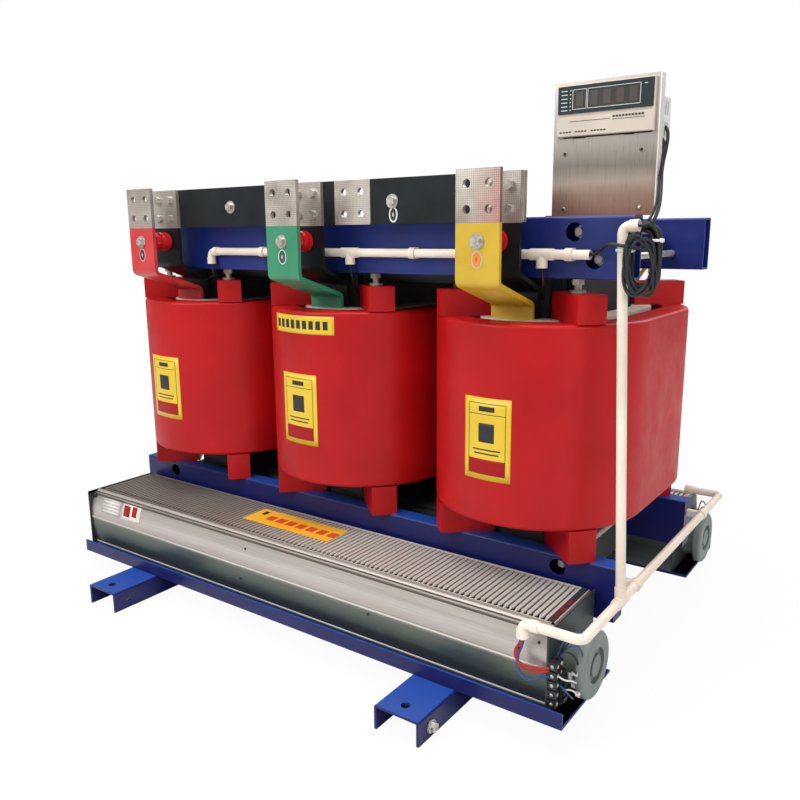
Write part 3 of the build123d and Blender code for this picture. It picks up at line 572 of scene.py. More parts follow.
# The width of the painted highlight along the plate's right edge.
PLATE_HIGHLIGHT_WIDTH = 0.0022
stainless = finish("brushed stainless", (186, 178, 168), 0.32, 0.55)
lines = noise(stainless, 1.0, ALONG_Z, detail=5.0, rough=0.6)
height = level(stainless, "Z", PLATE_LOW[2], PLATE_HIGH[2])
drift = maths(stainless, "ADD", height, times(stainless, noise(stainless, 7.0, (0.4, 1, 1)), 0.16))
# Painted reflection down the height: pale at the top, browner towards the foot.
tone = ramp(stainless, drift, [
    (0.08, (150, 116, 102)), (0.22, (162, 132, 118)), (0.32, (180, 162, 148)), (0.44, (136, 130, 120)),
    (0.62, (172, 166, 156)), (0.80, (190, 184, 174)), (1.0, (206, 198, 186))])
plate = mirrored(stainless, tone, lines, 228, 0.7)
# A near-white strip along the right edge: painted highlight.
edge = above(stainless, coordinate(stainless, "X"), float(PLATE_HIGH[0]) - PLATE_HIGHLIGHT_WIDTH)
colour_in(stainless, blend(stainless, edge, plate, (238, 234, 228)))
rough_in(stainless, lines, 0.26, 0.40)
dress(stainless, "controller_plate")

motor_grey = enamel("motor enamel", (124, 134, 128), (106, 116, 110), rough=0.5, peel=0.3, drift=8.0,
                    coat=0.0)
dress(motor_grey, *named("fan_motor_"))

# %% [markdown]
# ## Plastics, posts and sleeves
# Conduit is cream plastic that dirties a little where hands touch it. The posts are glossy red
# resin. The high voltage leads wear yellow sleeves and end in brass. All the plastics share one
# helper, because they differ only in colour and shine.

# %% Plastics, posts and sleeves
def plastic(name, light, dark, rough=0.45, drift=10.0, **sockets):
    """Plastic whose tone drifts between two colours, with a very fine relief."""
    material = finish(name, light, rough, **sockets)
    mottle(material, noise(material, drift), dark, light, 0.32, 0.66)
    relief(material, noise(material, 300.0, detail=2.0), 0.04, 0.0004)
    return material


white_case = plastic("white case", (226, 226, 222), (212, 212, 208))
black_plastic = plastic("black plastic", (30, 32, 34), (22, 24, 26), rough=0.5)
glass_black = plastic("display window", (38, 48, 52), (34, 43, 47), rough=0.16, Coat_Weight=0.5)
brass = finish("brass", (196, 158, 86), 0.3, 0.9)
mottle(brass, noise(brass, 70.0), (176, 138, 70), (208, 172, 98))
dress(plastic("cream conduit", (236, 226, 210), (218, 206, 188), drift=7.0), *named("conduit_"))
dress(plastic("red post resin", (206, 30, 36), (186, 22, 28), rough=0.22, Coat_Weight=0.6),
      "bar_posts", "bus_posts", "hv_posts")
dress(plastic("pale bezel", (204, 192, 178), (194, 182, 168), rough=0.42), "controller_bezel")
dress(plastic("yellow sleeve", (206, 176, 48), (188, 156, 38), rough=0.42),
      "hv_short_links", "hv_long_link", "hv_leads")
dress(white_case, "controller_body")
dress(black_plastic, "fan_terminal_blocks")
dress(glass_black, "controller_display")
dress(brass, "hv_terminals", "hv_tap_links")

# %% [markdown]
# Films and small wires come in many colours, and a film has little else to tell it from the next
# one, so the films are one table of their two tones and their roughness.

# %% Films and wire colours
FILM_TONES = {
    "orange": ((222, 138, 44), (210, 124, 36), 0.4), "yellow": ((224, 190, 44), (216, 180, 38), 0.38),
    "guard": ((244, 182, 48), (238, 172, 40), 0.4), "warm red": ((220, 84, 40), (208, 74, 34), 0.4),
    "white": ((226, 220, 212), (216, 208, 200), 0.4), "pale": ((188, 184, 178), (178, 174, 168), 0.42),
    "dark green": ((52, 84, 72), (44, 74, 64), 0.4), "maroon": ((110, 34, 36), (98, 28, 30), 0.4)}
film = {word: plastic(word + " film", *tones) for word, tones in FILM_TONES.items()}
film["dark red"] = plastic("dark red film", (162, 20, 24), (150, 16, 20), rough=0.45, Specular_IOR_Level=0.2)
white_line = plastic("white print", (212, 216, 212), (200, 204, 200))
# This dark brown is painted shade under the housing's rails.
painted_shade_line = plastic("brown line", (76, 65, 57), (66, 56, 49), rough=0.5)
black_rubber = plastic("black cable", (26, 27, 30), (18, 19, 21), rough=0.55)
red_wire = plastic("red wire", (176, 34, 36), (158, 26, 30), rough=0.4)
blue_wire = plastic("blue wire", (44, 74, 124), (34, 60, 106), rough=0.4)
white_wire = plastic("white wire", (222, 222, 216), (208, 208, 202), rough=0.45)
print("films:", ", ".join(sorted(film)))

# %% [markdown]
# ## Guard slats over the fan mouths
# The real guard is a pressed comb: short slats about 13 mm apart between two rails. In the frame it
# is a coarse one, so this piece replaces it. Slats could be copies of one object, but all of them
# as one array of evenly spaced blocks stay a single light piece.

# %% Guards
SLAT_STEP, SLAT_WIDTH, TOOTH_WIDTH, TOOTH_DROP = 0.0135, 0.0084, 0.0040, 0.0006
RAIL, RAIL_GAP, END_BAR = 0.0025, 0.0125, 0.006
slat_metal = finish("slat metal", (206, 202, 194), 0.46, 0.25)
# Painted shade: the slats darken from the right end towards the left end.
along = level(slat_metal, "X", -0.75, 0.10)
colour_in(slat_metal, ramp(slat_metal, along, [
    (0.0, (122, 115, 107)), (0.55, (146, 138, 130)), (1.0, (202, 196, 188))]))


def guard(word):
    """Slats evenly spaced along X between two long rails; each slat narrows to a tooth at its ends."""
    low, high = low_high("fan_grille_" + word)
    deep, thick = high[1] - low[1], high[2] - low[2]
    middle_x, middle_y = (low[0] + high[0]) / 2, (low[1] + high[1]) / 2
    z = high[2] - thick / 2
    count = int((high[0] - low[0]) / SLAT_STEP)
    xs = np.linspace(low[0] + 0.008, high[0] - 0.008, count)
    centres = np.stack([xs, np.full(count, middle_y), np.full(count, z)], 1)
    slat = (SLAT_WIDTH, deep - 2 * (RAIL + RAIL_GAP), thick)
    tooth = (TOOTH_WIDTH, deep - 2 * RAIL, thick - 2 * TOOTH_DROP)
    slats = boxes("guard_slats_" + word, np.concatenate([centres, centres - [0, 0, TOOTH_DROP]]),
                  np.repeat([slat, tooth], count, axis=0))
    z_rail = z + 0.0005
    long_rails = [(middle_x, y, z_rail) for y in (low[1] + RAIL / 2, high[1] - RAIL / 2)]
    end_bars = [(x, middle_y, z_rail) for x in (low[0] + END_BAR / 2, high[0] - END_BAR / 2)]
    rails = boxes("guard_rails_" + word, *block_sets((long_rails, (high[0] - low[0], RAIL, thick)),
                                                     (end_bars, (END_BAR, deep, thick))))
    for piece in (slats, rails):
        place(piece, slat_metal)
    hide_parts("fan_grille_" + word)
    return count


print("slats", guard("front"), guard("rear"))

# %% [markdown]
# ## Seams of the fan housing
# The housing is rolled from three sheets whose edges are folded over each other. The folds show as
# thin ribs along the whole length: one at mid height, one low, and a rail beside the guard. Under
# the rail, a dark brown rib and a dark brown band are painted shade. A rib could be cut into the
# sheet's own mesh, but as a round strip half sunk in the skin it stays sharp. A ray sent square to
# the housing finds where the skin is.

# %% Housing ribs
guard_metal = brushed("guard metal", (206, 202, 194), (170, 164, 156), ALONG_X, rough=0.46, metal=0.25)
rail_metal = brushed("rail metal", (196, 189, 182), (166, 159, 152), ALONG_X, rough=0.38, metal=0.5)
SEAM_Z = float(CASE_LOW[2]) + 0.098
SIDES = {"front": -1, "rear": 1}
bpy.context.view_layer.update()


def skin_y(word, z, x=0.0):
    """The housing's outer Y at a height, found by a ray sent square to its front."""
    side = SIDES[word]
    found, where, _, _ = nodes["fan_case_" + word].ray_cast(Vector((x, side, z)), Vector((0, -side, 0)))
    return where[1] if found else None


def rib(name, x0, x1, y, z, radius, side, material):
    """A round strip along X: its section is a circle of the given radius round (y, z)."""
    turn = np.linspace(0, 2 * pi, 14, endpoint=False)
    section = np.stack([np.zeros_like(turn), y + side * radius * np.cos(turn), z + radius * np.sin(turn)], 1)
    grid = section[None] + np.array([x0, x1])[:, None, None] * np.array([1.0, 0, 0])
    piece = grid_piece(name, grid, close_columns=True, flip=side > 0)
    return place(piece, material)


for word, side in SIDES.items():
    low, high = low_high("fan_case_" + word)
    x0, x1 = low[0] + 0.002, high[0] - 0.002
    for label, z, radius, material in (("mid", SEAM_Z, 0.0028, guard_metal),
                                       ("low", low[2] + 0.018, 0.0034, guard_metal),
                                       # The third rib is a dark brown line under the rail: painted shade.
                                       ("groove", high[2] - 0.0065, 0.0030, painted_shade_line)):
        y = skin_y(word, z) - side * radius * 0.4
        rib(f"housing_rib_{label}_{word}", x0, x1, y, z, radius, side, material)
    mouth_edge = float(low_high("fan_grille_" + word)[0 if side < 0 else 1][1])
    rail_y = mouth_edge + side * 0.0105
    rib("housing_rail_" + word, x0, x1, rail_y, high[2] - 0.0010, 0.0070, side, rail_metal)
    # A dark brown band under the rail, beside the guard: painted shade.
    groove = boxes("housing_painted_shade_band_" + word, [((low[0] + high[0]) / 2, rail_y, high[2] + 0.0004)],
                   (high[0] - low[0] - 0.004, 0.0225, 0.0008))
    place(groove, painted_shade_line)
print("ribs at mid height", round(SEAM_Z, 3), "skin there", skin_y("front", SEAM_Z))

# %% [markdown]
# Two small plates and a few screws sit on the front housing. A flat block would sink into the
# rolled sheet or stand off it, so each plate is a film whose points follow the skin.

# %% Plates and screws on the housing
ON_SKIN, ON_PLATE, PLATE_WALL = 0.0006, 0.0009, 0.0003
TO_FRONT = (0, -1, 0)


def housing_patch(name, x0, x1, z0, z1, lift, material):
    """A film on the front housing: its points follow the skin, moved out by the lift."""
    zs = np.linspace(z0, z1, 8)
    ys = np.array([skin_y("front", z) for z in zs]) - lift
    grid = np.stack(np.broadcast_arrays(np.array([x0, x1])[None, :], ys[:, None], zs[:, None]), -1)
    piece = grid_piece(name, grid)
    thicken(piece, PLATE_WALL, -1)
    return place(piece, material)


housing_patch("pale_plate", -0.7385, -0.6490, 0.181, 0.226, ON_SKIN, film["pale"])
for row in range(4):
    z = 0.1855 + 0.0092 * row
    housing_patch(f"pale_plate_line_{row}", -0.7330, -0.6560, z, z + 0.0040, ON_PLATE, film["white"])
housing_patch("white_plate", -0.6400, -0.5560, 0.180, 0.229, ON_SKIN, film["white"])
housing_patch("white_plate_field", -0.6310, -0.6030, 0.190, 0.220, ON_PLATE, film["dark red"])
housing_patch("white_plate_mark", -0.5930, -0.5720, 0.194, 0.222, ON_PLATE, film["dark red"])

screws = [(x, skin_y("front", z) + 0.0005, z) for x, z in ((-0.1255, 0.206), (-0.1415, 0.122),
                                                            (0.2765, 0.146), (0.6950, 0.206))]
heads("housing_screws", screws, 0.0030, 0.0022, TO_FRONT, black_plastic)
heads("end_eyelet", [(-0.7770, -0.5020, 0.2240)], 0.0080, 0.0030, TO_FRONT, black_plastic)
heads("end_eyelet_core", [(-0.7770, -0.5040, 0.2240)], 0.0030, 0.0016, TO_FRONT, dark_metal)

# The end plates stand a little proud of the housings, so their edges are square strips: one
# upright at the front and one along the top.
ends = [float(CASE_LOW[0]) - 0.0015, float(CASE_HIGH[0]) + 0.0015]
strips, sizes = block_sets(([(x, -0.4980, 0.1520) for x in ends], (0.0034, 0.0440, 0.1690)),
                           ([(x, -0.4030, 0.2345) for x in ends], (0.0034, 0.2300, 0.0060)))
place(boxes("end_plate_edges", strips, sizes), dark_metal)
print("plates, screws and", len(strips), "end strips")

# %% [markdown]
# ## Labels
# The coils carry plain film labels. A flat film would cut through the coil's rounded front, so a
# label is a patch of the same surface: an angle round the coil's end and a height give each point,
# a hair outside.

# %% Films on the coils
COIL_LOW, COIL_HIGH = low_high("hv_coil_middle")
COIL_R = (COIL_HIGH[0] - COIL_LOW[0]) / 2
COIL_END_Y = COIL_LOW[1] + COIL_R
COIL_X = {word: sum(corner[0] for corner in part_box("hv_coil_" + word)) / 2
          for word in ("left", "middle", "right")}
ON_COIL, ON_LABEL = 0.0005, 0.0008


def coil_patch(name, coil, angles, heights, lift, material):
    """Points at radius r = R + lift: x = cx + r sin a, y = end centre - r cos a, z = height.

    The film's wall goes inwards.
    """
    a = radians(1) * np.linspace(angles[0], angles[1], 24)[None, :]
    z = np.linspace(heights[0], heights[1], 8)[:, None]
    r = COIL_R + lift
    grid = np.stack(np.broadcast_arrays(COIL_X[coil] + r * np.sin(a), COIL_END_Y - r * np.cos(a), z), -1)
    piece = grid_piece(name, grid)
    thicken(piece, lift * 0.8, -1)
    return place(piece, material)


print("coil radius", round(float(COIL_R), 4))

# %% [markdown]
# Each coil has one tall yellow label: a red field at its foot, two side lines, and plain bars,
# lines and a square where print would be. The three differ only in their place and width, so the
# marks are one table of shares of the label's half width and of heights. The middle coil has a
# wide label as well, with nine plain fields.

# %% Labels on the coils
Z0, Z1 = 0.466, 0.648
FIELD_TOP, LABEL_EDGE = Z0 + 0.046, 0.012
for coil, angles in (("left", (-20.5, 10.0)), ("middle", (-19.5, 8.7)), ("right", (-15.5, 11.0))):
    coil_patch("label_" + coil, coil, angles, (Z0, Z1), ON_COIL, film["yellow"])
    middle, half = (angles[0] + angles[1]) / 2, (angles[1] - angles[0]) / 2
    wide, thin = half * 0.80, half * 0.022
    coil_patch("label_field_" + coil, coil, (middle - wide, middle + wide), (Z0 + LABEL_EDGE, FIELD_TOP),
               ON_LABEL, film["dark red"])
    marks = (("left", -wide, thin - wide, FIELD_TOP, Z1 - LABEL_EDGE),
             ("right", wide - thin, wide, FIELD_TOP, Z1 - LABEL_EDGE),
             ("top", -wide, wide, Z1 - 0.0130, Z1 - 0.0118),
             ("head", -wide, wide, Z1 - 0.0370, Z1 - 0.0358),
             ("bar", -wide * 0.42, wide * 0.42, Z1 - 0.0300, Z1 - 0.0190),
             ("square", -wide * 0.42, wide * 0.42, Z0 + 0.084, Z1 - 0.056),
             ("line_a", -wide * 0.74, wide * 0.74, Z0 + 0.066, Z0 + 0.069),
             ("line_b", -wide * 0.66, wide * 0.66, Z0 + 0.057, Z0 + 0.060))
    for word, a0, a1, low, high in marks:
        coil_patch(f"label_{word}_{coil}", coil, (middle + a0, middle + a1), (low, high), ON_LABEL,
                   black_plastic)
coil_patch("label_wide", "middle", (-26.5, 20.9), (0.750, 0.795), ON_COIL, film["yellow"])
for k in range(9):
    angles = (-23.6 + 4.7 * k, -20.6 + 4.7 * k)
    coil_patch(f"label_wide_field_{k}", "middle", angles, (0.7620, 0.7830), ON_LABEL, black_plastic)
print("labels on", len(COIL_X), "coils")

# %% [markdown]
# Each phase bar and the bus carry an oval film near a post bolt: a ring, a field and a dot, one a
# hair before the other. An oval is a disc's rim stretched in height, with a flat back.

# %% Oval films on the bars
def oval(name, x, y, z, width, height, material):
    """A closed oval film: rim points at x + w cos t, z + h sin t, with its face towards -Y."""
    count = 40
    t = np.linspace(0, 2 * pi, count, endpoint=False)
    rim = np.stack([x + width / 2 * np.cos(t), np.full_like(t, y), z + height / 2 * np.sin(t)], 1)
    faces = [list(range(count)), list(range(2 * count - 1, count - 1, -1))]
    faces += [[i, i + count, (i + 1) % count + count, (i + 1) % count] for i in range(count)]
    piece = mesh_piece(name, np.concatenate([rim, rim + [0, 0.0006, 0]]), faces, smooth=False)
    return place(piece, material)


def post_film(word, x, front, z, ring_size, field_size, ring, field, dot):
    """A ring, a field and a dot, each 0.3 mm before the last."""
    oval("film_ring_" + word, x, front - 0.0007, z, *ring_size, ring)
    oval("film_" + word, x, front - 0.0010, z, *field_size, field)
    oval("film_dot_" + word, x, front - 0.0013, z, 0.005, 0.010, dot)


for colour, field, ring, dot in (("yellow", film["orange"], film["pale"], film["warm red"]),
                                 ("green", film["dark green"], white_line, film["pale"]),
                                 ("red", film["maroon"], film["pale"], film["pale"])):
    low, high = low_high("lv_bar_" + colour)
    post_film(colour, (low[0] + high[0]) / 2, low[1], 0.9385, (0.025, 0.035), (0.020, 0.030),
              ring, field, dot)
bolt_x = low_high("bus_posts")[1][0] - 0.020
post_film("bus", bolt_x + 0.002, low_high("neutral_bus")[0][1], 1.0325, (0.024, 0.035), (0.016, 0.027),
          white_line, black_plastic, film["pale"])
print("oval films on the bars")

# %% [markdown]
# Two flat films lie on the front guard: an orange one with plain red fields in front of the middle
# coil, and a narrow dark strip at the right end. They are flat, so thin blocks are enough.

# %% Films on the guard
GUARD_TOP, GUARD_END = (float(low_high("fan_grille_front")[1][axis]) for axis in (2, 0))
ON_GUARD, ON_FILM = GUARD_TOP + 0.0010, GUARD_TOP + 0.0018
strip_x, label_x = GUARD_END - 0.0095, COIL_X["middle"]
for name, centres, size, material, slot in (
        ("guard_end_strip", [(strip_x, -0.383, ON_GUARD)], (0.0150, 0.1780, 0.0010), dark_metal,
         "dark_metal"),
        ("guard_end_fields", [(strip_x, y, ON_FILM) for y in (-0.444, -0.412, -0.378)],
         (0.0110, 0.0240, 0.0008), film["maroon"], "bar_red"),
        ("guard_label", [(label_x - 0.058, -0.369, ON_GUARD)], (0.300, 0.086, 0.0010), film["guard"],
         "bar_yellow"),
        ("guard_label_fields", [(label_x - 0.138 + 0.036 * k, -0.372, ON_FILM) for k in range(7)],
         (0.026, 0.028, 0.0008), film["warm red"], "bar_red"),
        ("guard_label_mark", [(label_x - 0.180, -0.352, ON_FILM)], (0.012, 0.022, 0.0008), black_plastic,
         "black_plastic")):
    place(boxes(name, centres, size), material)
print("films on the guard at", round(GUARD_TOP, 3))

# %% [markdown]
# ## Controller face
# The dark window shows two framed fields for digits and a column of small lamps with plain marks
# beside them. The marks could be an image, but thin blocks need no file and hold their shape up
# close. A frame is four strips, so one array of blocks makes them all.

# %% Display
BEZEL_LOW, BEZEL_HIGH = low_high("controller_bezel")
face_low, face_high = BEZEL_LOW + [0.0025, 0, 0.0435], BEZEL_HIGH - [0.0025, 0, 0.0015]
face_x, face_z = (face_low[0] + face_high[0]) / 2, (face_low[2] + face_high[2]) / 2
window = boxes("display_window", [(face_x, BEZEL_LOW[1] - 0.0001, face_z)],
               (face_high[0] - face_low[0], 0.0014, face_high[2] - face_low[2]))
place(window, glass_black)
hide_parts("controller_display")
MARK, FINE = 0.0006, 0.0004
face_y = float(BEZEL_LOW[1]) - 0.0010


def strip_frame(x0, x1, z0, z1, y, w):
    """The sets of strips round a field: two along X and two along Z."""
    cx, cz = (x0 + x1) / 2, (z0 + z1) / 2
    return (([(cx, y, z0), (cx, y, z1)], (x1 - x0 + w, MARK, w)),
            ([(x0, y, cz), (x1, y, cz)], (w, MARK, z1 - z0)))


sets = []
for x0, x1 in ((0.0315, 0.0600), (0.0630, 0.1690)):
    sets += strip_frame(face_low[0] + x0, face_low[0] + x1, face_low[2] + 0.0080, face_high[2] - 0.0080,
                        face_y, 0.0010)
for row in range(6):
    z = face_high[2] - 0.0090 - 0.0074 * row
    sets += [([(face_low[0] + 0.0135, face_y, z)], (0.0130, MARK, 0.0015)),
             ([(face_low[0] + 0.0265, face_y, z)], (0.0022, MARK, 0.0022))]
sets.append(([(face_low[0] + 0.1790, face_y, face_high[2] - 0.0100)], (0.0060, MARK, 0.0014)))
centres, sizes = block_sets(*sets)
place(boxes("display_marks", centres, sizes), white_line)

digit_brown = plastic("dark digit field", (64, 60, 56), (52, 50, 47), rough=0.2)
digits = plastic("unlit digits", (76, 70, 66), (70, 65, 61), rough=0.25)
fields = [(face_low[0] + x, face_y + 0.0003, face_z) for x in (0.04575, 0.1160)]
place(boxes("digit_fields", fields, [(0.0275, FINE, 0.0375), (0.1050, FINE, 0.0375)]), digit_brown)
squares = [(face_low[0] + x, face_y, face_z) for x in (0.04575, 0.0760, 0.1025, 0.1290, 0.1555)]
place(boxes("digit_squares", squares, (0.0150, FINE, 0.0270)), digits)
print("display marks", len(centres))

# %% [markdown]
# Print on the bezel is only plain dashes and one line. Under the bezel, three dark strips on the
# plate are its painted shadow. The rows share one helper, because they differ only in their step,
# size and count. The controller's side has six short vents, and the plate has four mounting screws
# with washers; three have black heads and the fourth is white, a painted highlight.

# %% Bezel, vents and plate screws
bezel_y, plate_y = float(BEZEL_LOW[1]) - 0.0002, float(BEZEL_HIGH[1]) - 0.0002


def dashes(x, z, step, places, width, height):
    """One row of equal dashes on the bezel, as a set for block_sets."""
    return [(BEZEL_LOW[0] + x + step * k, bezel_y, BEZEL_LOW[2] + z) for k in places], (width, MARK, height)


centres, sizes = block_sets(
    dashes(0.070, 0.0285, 0, [0], 0.086, 0.0009),
    dashes(0.120, 0.0320, 0.0064, range(10), 0.0046, 0.0036),
    dashes(0.120, 0.0265, 0.0050, range(13), 0.0034, 0.0014),
    dashes(0.010, 0.0085, 0.0066, [k for k in range(15) if k not in (4, 9)], 0.0046, 0.0026),
    # The last three strips, on the plate under the bezel, are painted shadow.
    ([(BEZEL_LOW[0] + 0.104, plate_y, BEZEL_LOW[2] - 0.0014)], (0.182, MARK, 0.0032)),
    ([(BEZEL_LOW[0] + 0.046, plate_y, BEZEL_LOW[2] - 0.0034)], (0.026, MARK, 0.0016)),
    ([(BEZEL_LOW[0] + 0.150, plate_y, BEZEL_LOW[2] - 0.0034)], (0.020, MARK, 0.0016)))
place(boxes("bezel_print_and_painted_shadow", centres, sizes), black_plastic)
BODY_HIGH = low_high("controller_body")[1]
vents = [(BODY_HIGH[0] - 0.0016, BODY_HIGH[1] - 0.017 - 0.013 * k, 1.208 + z)
         for k in range(3) for z in (-0.02, 0.02)]
place(boxes("vent_slots", vents, (0.0004, 0.0058, 0.0256)), black_plastic)
screws = [(face_low[0] + x, plate_y - 0.0004, z) for x in (0.0155, 0.1745) for z in (1.147, 1.037)]
washers = [(x, plate_y + 0.0004, z) for x, _, z in screws]
heads("plate_washers", washers, 0.0048, 0.0010, TO_FRONT, stainless)
heads("plate_screws", screws[:3], 0.0028, 0.0008, TO_FRONT, black_plastic)
# The fourth screw head is white: a painted highlight.
heads("plate_screw_painted_highlight", screws[3:], 0.0026, 0.0008, TO_FRONT, white_case)
print("bezel marks", len(centres), "and plate screws", len(screws))

# %% [markdown]
# ## Small wires
# Thin probe wires drop from the conduit's elbow and tees to the coils' tops, where each ends in a
# brass tip. Their mouths differ but their course is the same, so one route with three sets of ends
# makes all of them.

# %% Probe wires
conduit_low, conduit_high = low_high("conduit_front")
coil_top = float(COIL_HIGH[2])
drop_y = (conduit_low[1] + conduit_high[1]) / 2 + 0.0005
probes, tips = [], []
for x, z0, x_end, y_end in ((conduit_low[0] + 0.012, 0.912, -0.5590, -0.205),
                            (0.0655, 0.918, 0.0240, -0.212), (0.5755, 0.918, 0.5420, -0.205)):
    near = (x * 0.65 + x_end * 0.35, drop_y + 0.026, 0.872)
    probes.append(soft_path([
        (x, drop_y, z0), (x + 0.004, drop_y - 0.003, z0 - 0.02), (x + 0.002, drop_y + 0.006, 0.880), near,
        (x_end + 0.008, y_end - 0.022, 0.852), (x_end, y_end, 0.842), (x_end, y_end, coil_top + 0.018)]))
    tips.append([(x_end, y_end, coil_top + lift) for lift in (0.020, 0.008, 0.0003)])
place(tubes("probe_wires", probes, 0.0022), black_rubber)
place(tubes("probe_tips", tips, 0.0035), brass)
print("probe wires", len(probes))

# %% [markdown]
# Red and blue wires leave the conduit's front elbow, sag a little and turn in to the fan's
# terminals. Each has its own sag, because three equal curves would look like one ribbon.

# %% Fan supply wires
end_low = low_high("conduit_end")[0]
mouth = np.array([end_low[0] + 0.012, end_low[1] + 0.012, 0.226])
for name, material, off, z, sag in (("fan_wire_red", red_wire, -0.003, 0.166, 0.0),
                                    ("fan_wire_red_2", red_wire, 0.000, 0.160, 0.004),
                                    ("fan_wire_blue", blue_wire, 0.003, 0.148, 0.012)):
    start = mouth + [off, 0, 0.004]
    route = [start, start - [0, 0, 0.016], (start[0] - 0.012, start[1] - 0.002, 0.196 - sag),
             (start[0] - 0.008, start[1] - 0.002, z + 0.008 - sag / 2),
             (start[0] + 0.012, start[1] + 0.001, z - sag), (0.7120, -0.5240, z - 0.002),
             (0.7235, -0.5190, z)]
    place(tubes(name, [soft_path(route)], 0.0026), material)
print("supply wires from", mouth.round(3))

# %% [markdown]
# The fan's own wiring sits in the open between the end plate and the motor: two columns of
# terminals with bright screws, short loops of wire and a few white connectors. The rear fan is the
# front one mirrored, so the loops are written once and their Y is turned by the side.

# %% Terminals and connectors
LOOPS = {
    blue_wire: (
        [(0.728, 0.498, 0.176), (0.734, 0.492, 0.212), (0.752, 0.462, 0.224), (0.768, 0.430, 0.214),
         (0.772, 0.404, 0.2055)],
        [(0.730, 0.492, 0.172), (0.742, 0.484, 0.198), (0.758, 0.474, 0.206), (0.768, 0.462, 0.186),
         (0.766, 0.458, 0.168)],
        [(0.738, 0.505, 0.130), (0.752, 0.506, 0.122), (0.760, 0.492, 0.100), (0.756, 0.474, 0.088)]),
    black_rubber: (
        [(0.730, 0.500, 0.174), (0.738, 0.500, 0.196), (0.754, 0.488, 0.194), (0.764, 0.474, 0.172),
         (0.760, 0.466, 0.150)],
        [(0.738, 0.492, 0.150), (0.752, 0.490, 0.160), (0.764, 0.478, 0.148), (0.766, 0.468, 0.130)],
        [(0.730, 0.494, 0.172), (0.736, 0.470, 0.196), (0.742, 0.440, 0.204), (0.748, 0.415, 0.196)]),
    white_wire: (
        [(0.738, 0.494, 0.110), (0.752, 0.494, 0.118), (0.764, 0.484, 0.112), (0.768, 0.474, 0.096)],
        [(0.738, 0.510, 0.150), (0.750, 0.508, 0.142), (0.762, 0.490, 0.138), (0.762, 0.474, 0.124)])}
CONNECTORS = [(0.756, 0.470, 0.118), (0.765, 0.472, 0.102), (0.747, 0.473, 0.134), (0.759, 0.476, 0.145)]
CONNECTOR_SIZES = [(0.010, 0.008, 0.013), (0.008, 0.010, 0.009), (0.009, 0.008, 0.010), (0.012, 0.007, 0.007)]
for word, side in SIDES.items():
    mirror = np.array([1, side, 1])
    rows = [(0.7295, side * y, z) for y in (0.5115, 0.4945) for z in (0.090, 0.110, 0.130, 0.150, 0.170)]
    place(boxes("terminals_" + word, rows, (0.017, 0.0150, 0.0165)), black_plastic)
    fronts = [(x, side * 0.5190, z) for x, _, z in rows[:5]]
    heads("terminal_screws_" + word, fronts, 0.0038, 0.0016, (0, side, 0), zinc)
    heads("terminal_sides_" + word, [(0.7380, y, z) for _, y, z in rows], 0.0038, 0.0016, (1, 0, 0), zinc)
    for material, paths in LOOPS.items():
        name = f"fan_loops_{word}_{material.name.split()[0]}"
        loops = tubes(name, [soft_path(np.array(path) * mirror) for path in paths], 0.0018)
        place(loops, material)
    connectors = boxes("fan_connectors_" + word, np.array(CONNECTORS) * mirror, CONNECTOR_SIZES)
    place(connectors, white_case)
    # A thin dark plate under each motor stands for the fan's dark foot and paints the shade on the tray floor
    # there.
    foot_z = low_high("fan_tray_" + word)[0][2] + 0.0040
    foot = boxes("fan_foot_and_painted_shade_" + word, [(0.7405, side * 0.412, foot_z)], (0.0385, 0.2400, 0.0020))
    place(foot, dark_metal)
print("terminals", len(rows), "and connectors", len(CONNECTORS), "on each fan")

# %% [markdown]
# ## The control cable and its hank
# The spare length of the control cable hangs in a hank at the clamp's end. A ring with a rope
# pattern would pass from afar, but this is one real cable: out of the conduit, up to the hank,
# round it in long turns, and on up to the controller. A computed route gives its centreline, so
# that its length can be stated and measured.

# %% Turns of the hank
hank_low, hank_high = low_high("cable_hank")
CABLE_D = 0.0068
TURNS, START = 6.75, 0.25


def stadium(share, half_w, half_h):
    """Rim of a stadium by its share of the length, clockwise from the top.

    x = w sin a, z = w cos a + (h - w) sign(cos a); the outward direction is (sin a, cos a).
    """
    a = np.concatenate([np.linspace(0, pi / 2, 60), np.linspace(pi / 2, 3 * pi / 2, 120),
                        np.linspace(3 * pi / 2, 2 * pi, 60)])
    sign = np.repeat([1.0, -1.0, 1.0], [60, 120, 60])
    x, z = half_w * np.sin(a), half_w * np.cos(a) + (half_h - half_w) * sign
    run = np.concatenate([[0], np.cumsum(np.hypot(np.diff(x), np.diff(z)))])
    at = (share % 1.0) * run[-1]
    return [np.interp(at, run, v) for v in (x, z, np.sin(a), np.cos(a))]


def hank_turns(per_turn=30):
    """Turns laid like a rope: turn t sits at angle 2 pi t / 7 round the ring's section.

    A slow wave in the distance from the section's middle loosens them.
    """
    t = np.arange(int(TURNS * per_turn) + 1) / per_turn
    centre, half = (hank_low + hank_high) / 2, (hank_high - hank_low) / 2
    thick = half[1]
    x, z, out_x, out_z = stadium(START + t, half[0] - thick, half[2] - thick)
    lay = 2 * pi * t / 7 - pi / 2
    away = (thick - CABLE_D / 2) * (0.93 + 0.06 * np.sin(2 * pi * 3.3 * t))
    return np.stack([centre[0] + x + away * np.cos(lay) * out_x, centre[1] + away * np.sin(lay),
                     centre[2] + z + away * np.cos(lay) * out_z], 1)


turns = hank_turns()
print("hank turns", TURNS, "through", len(turns), "points")

# %% [markdown]
# The run in comes from the conduit's mouth and the run out climbs to the controller's side. The
# whole route is one curve object with a round bevel, because a cord has to be a curve that carries
# its own length and thickness.

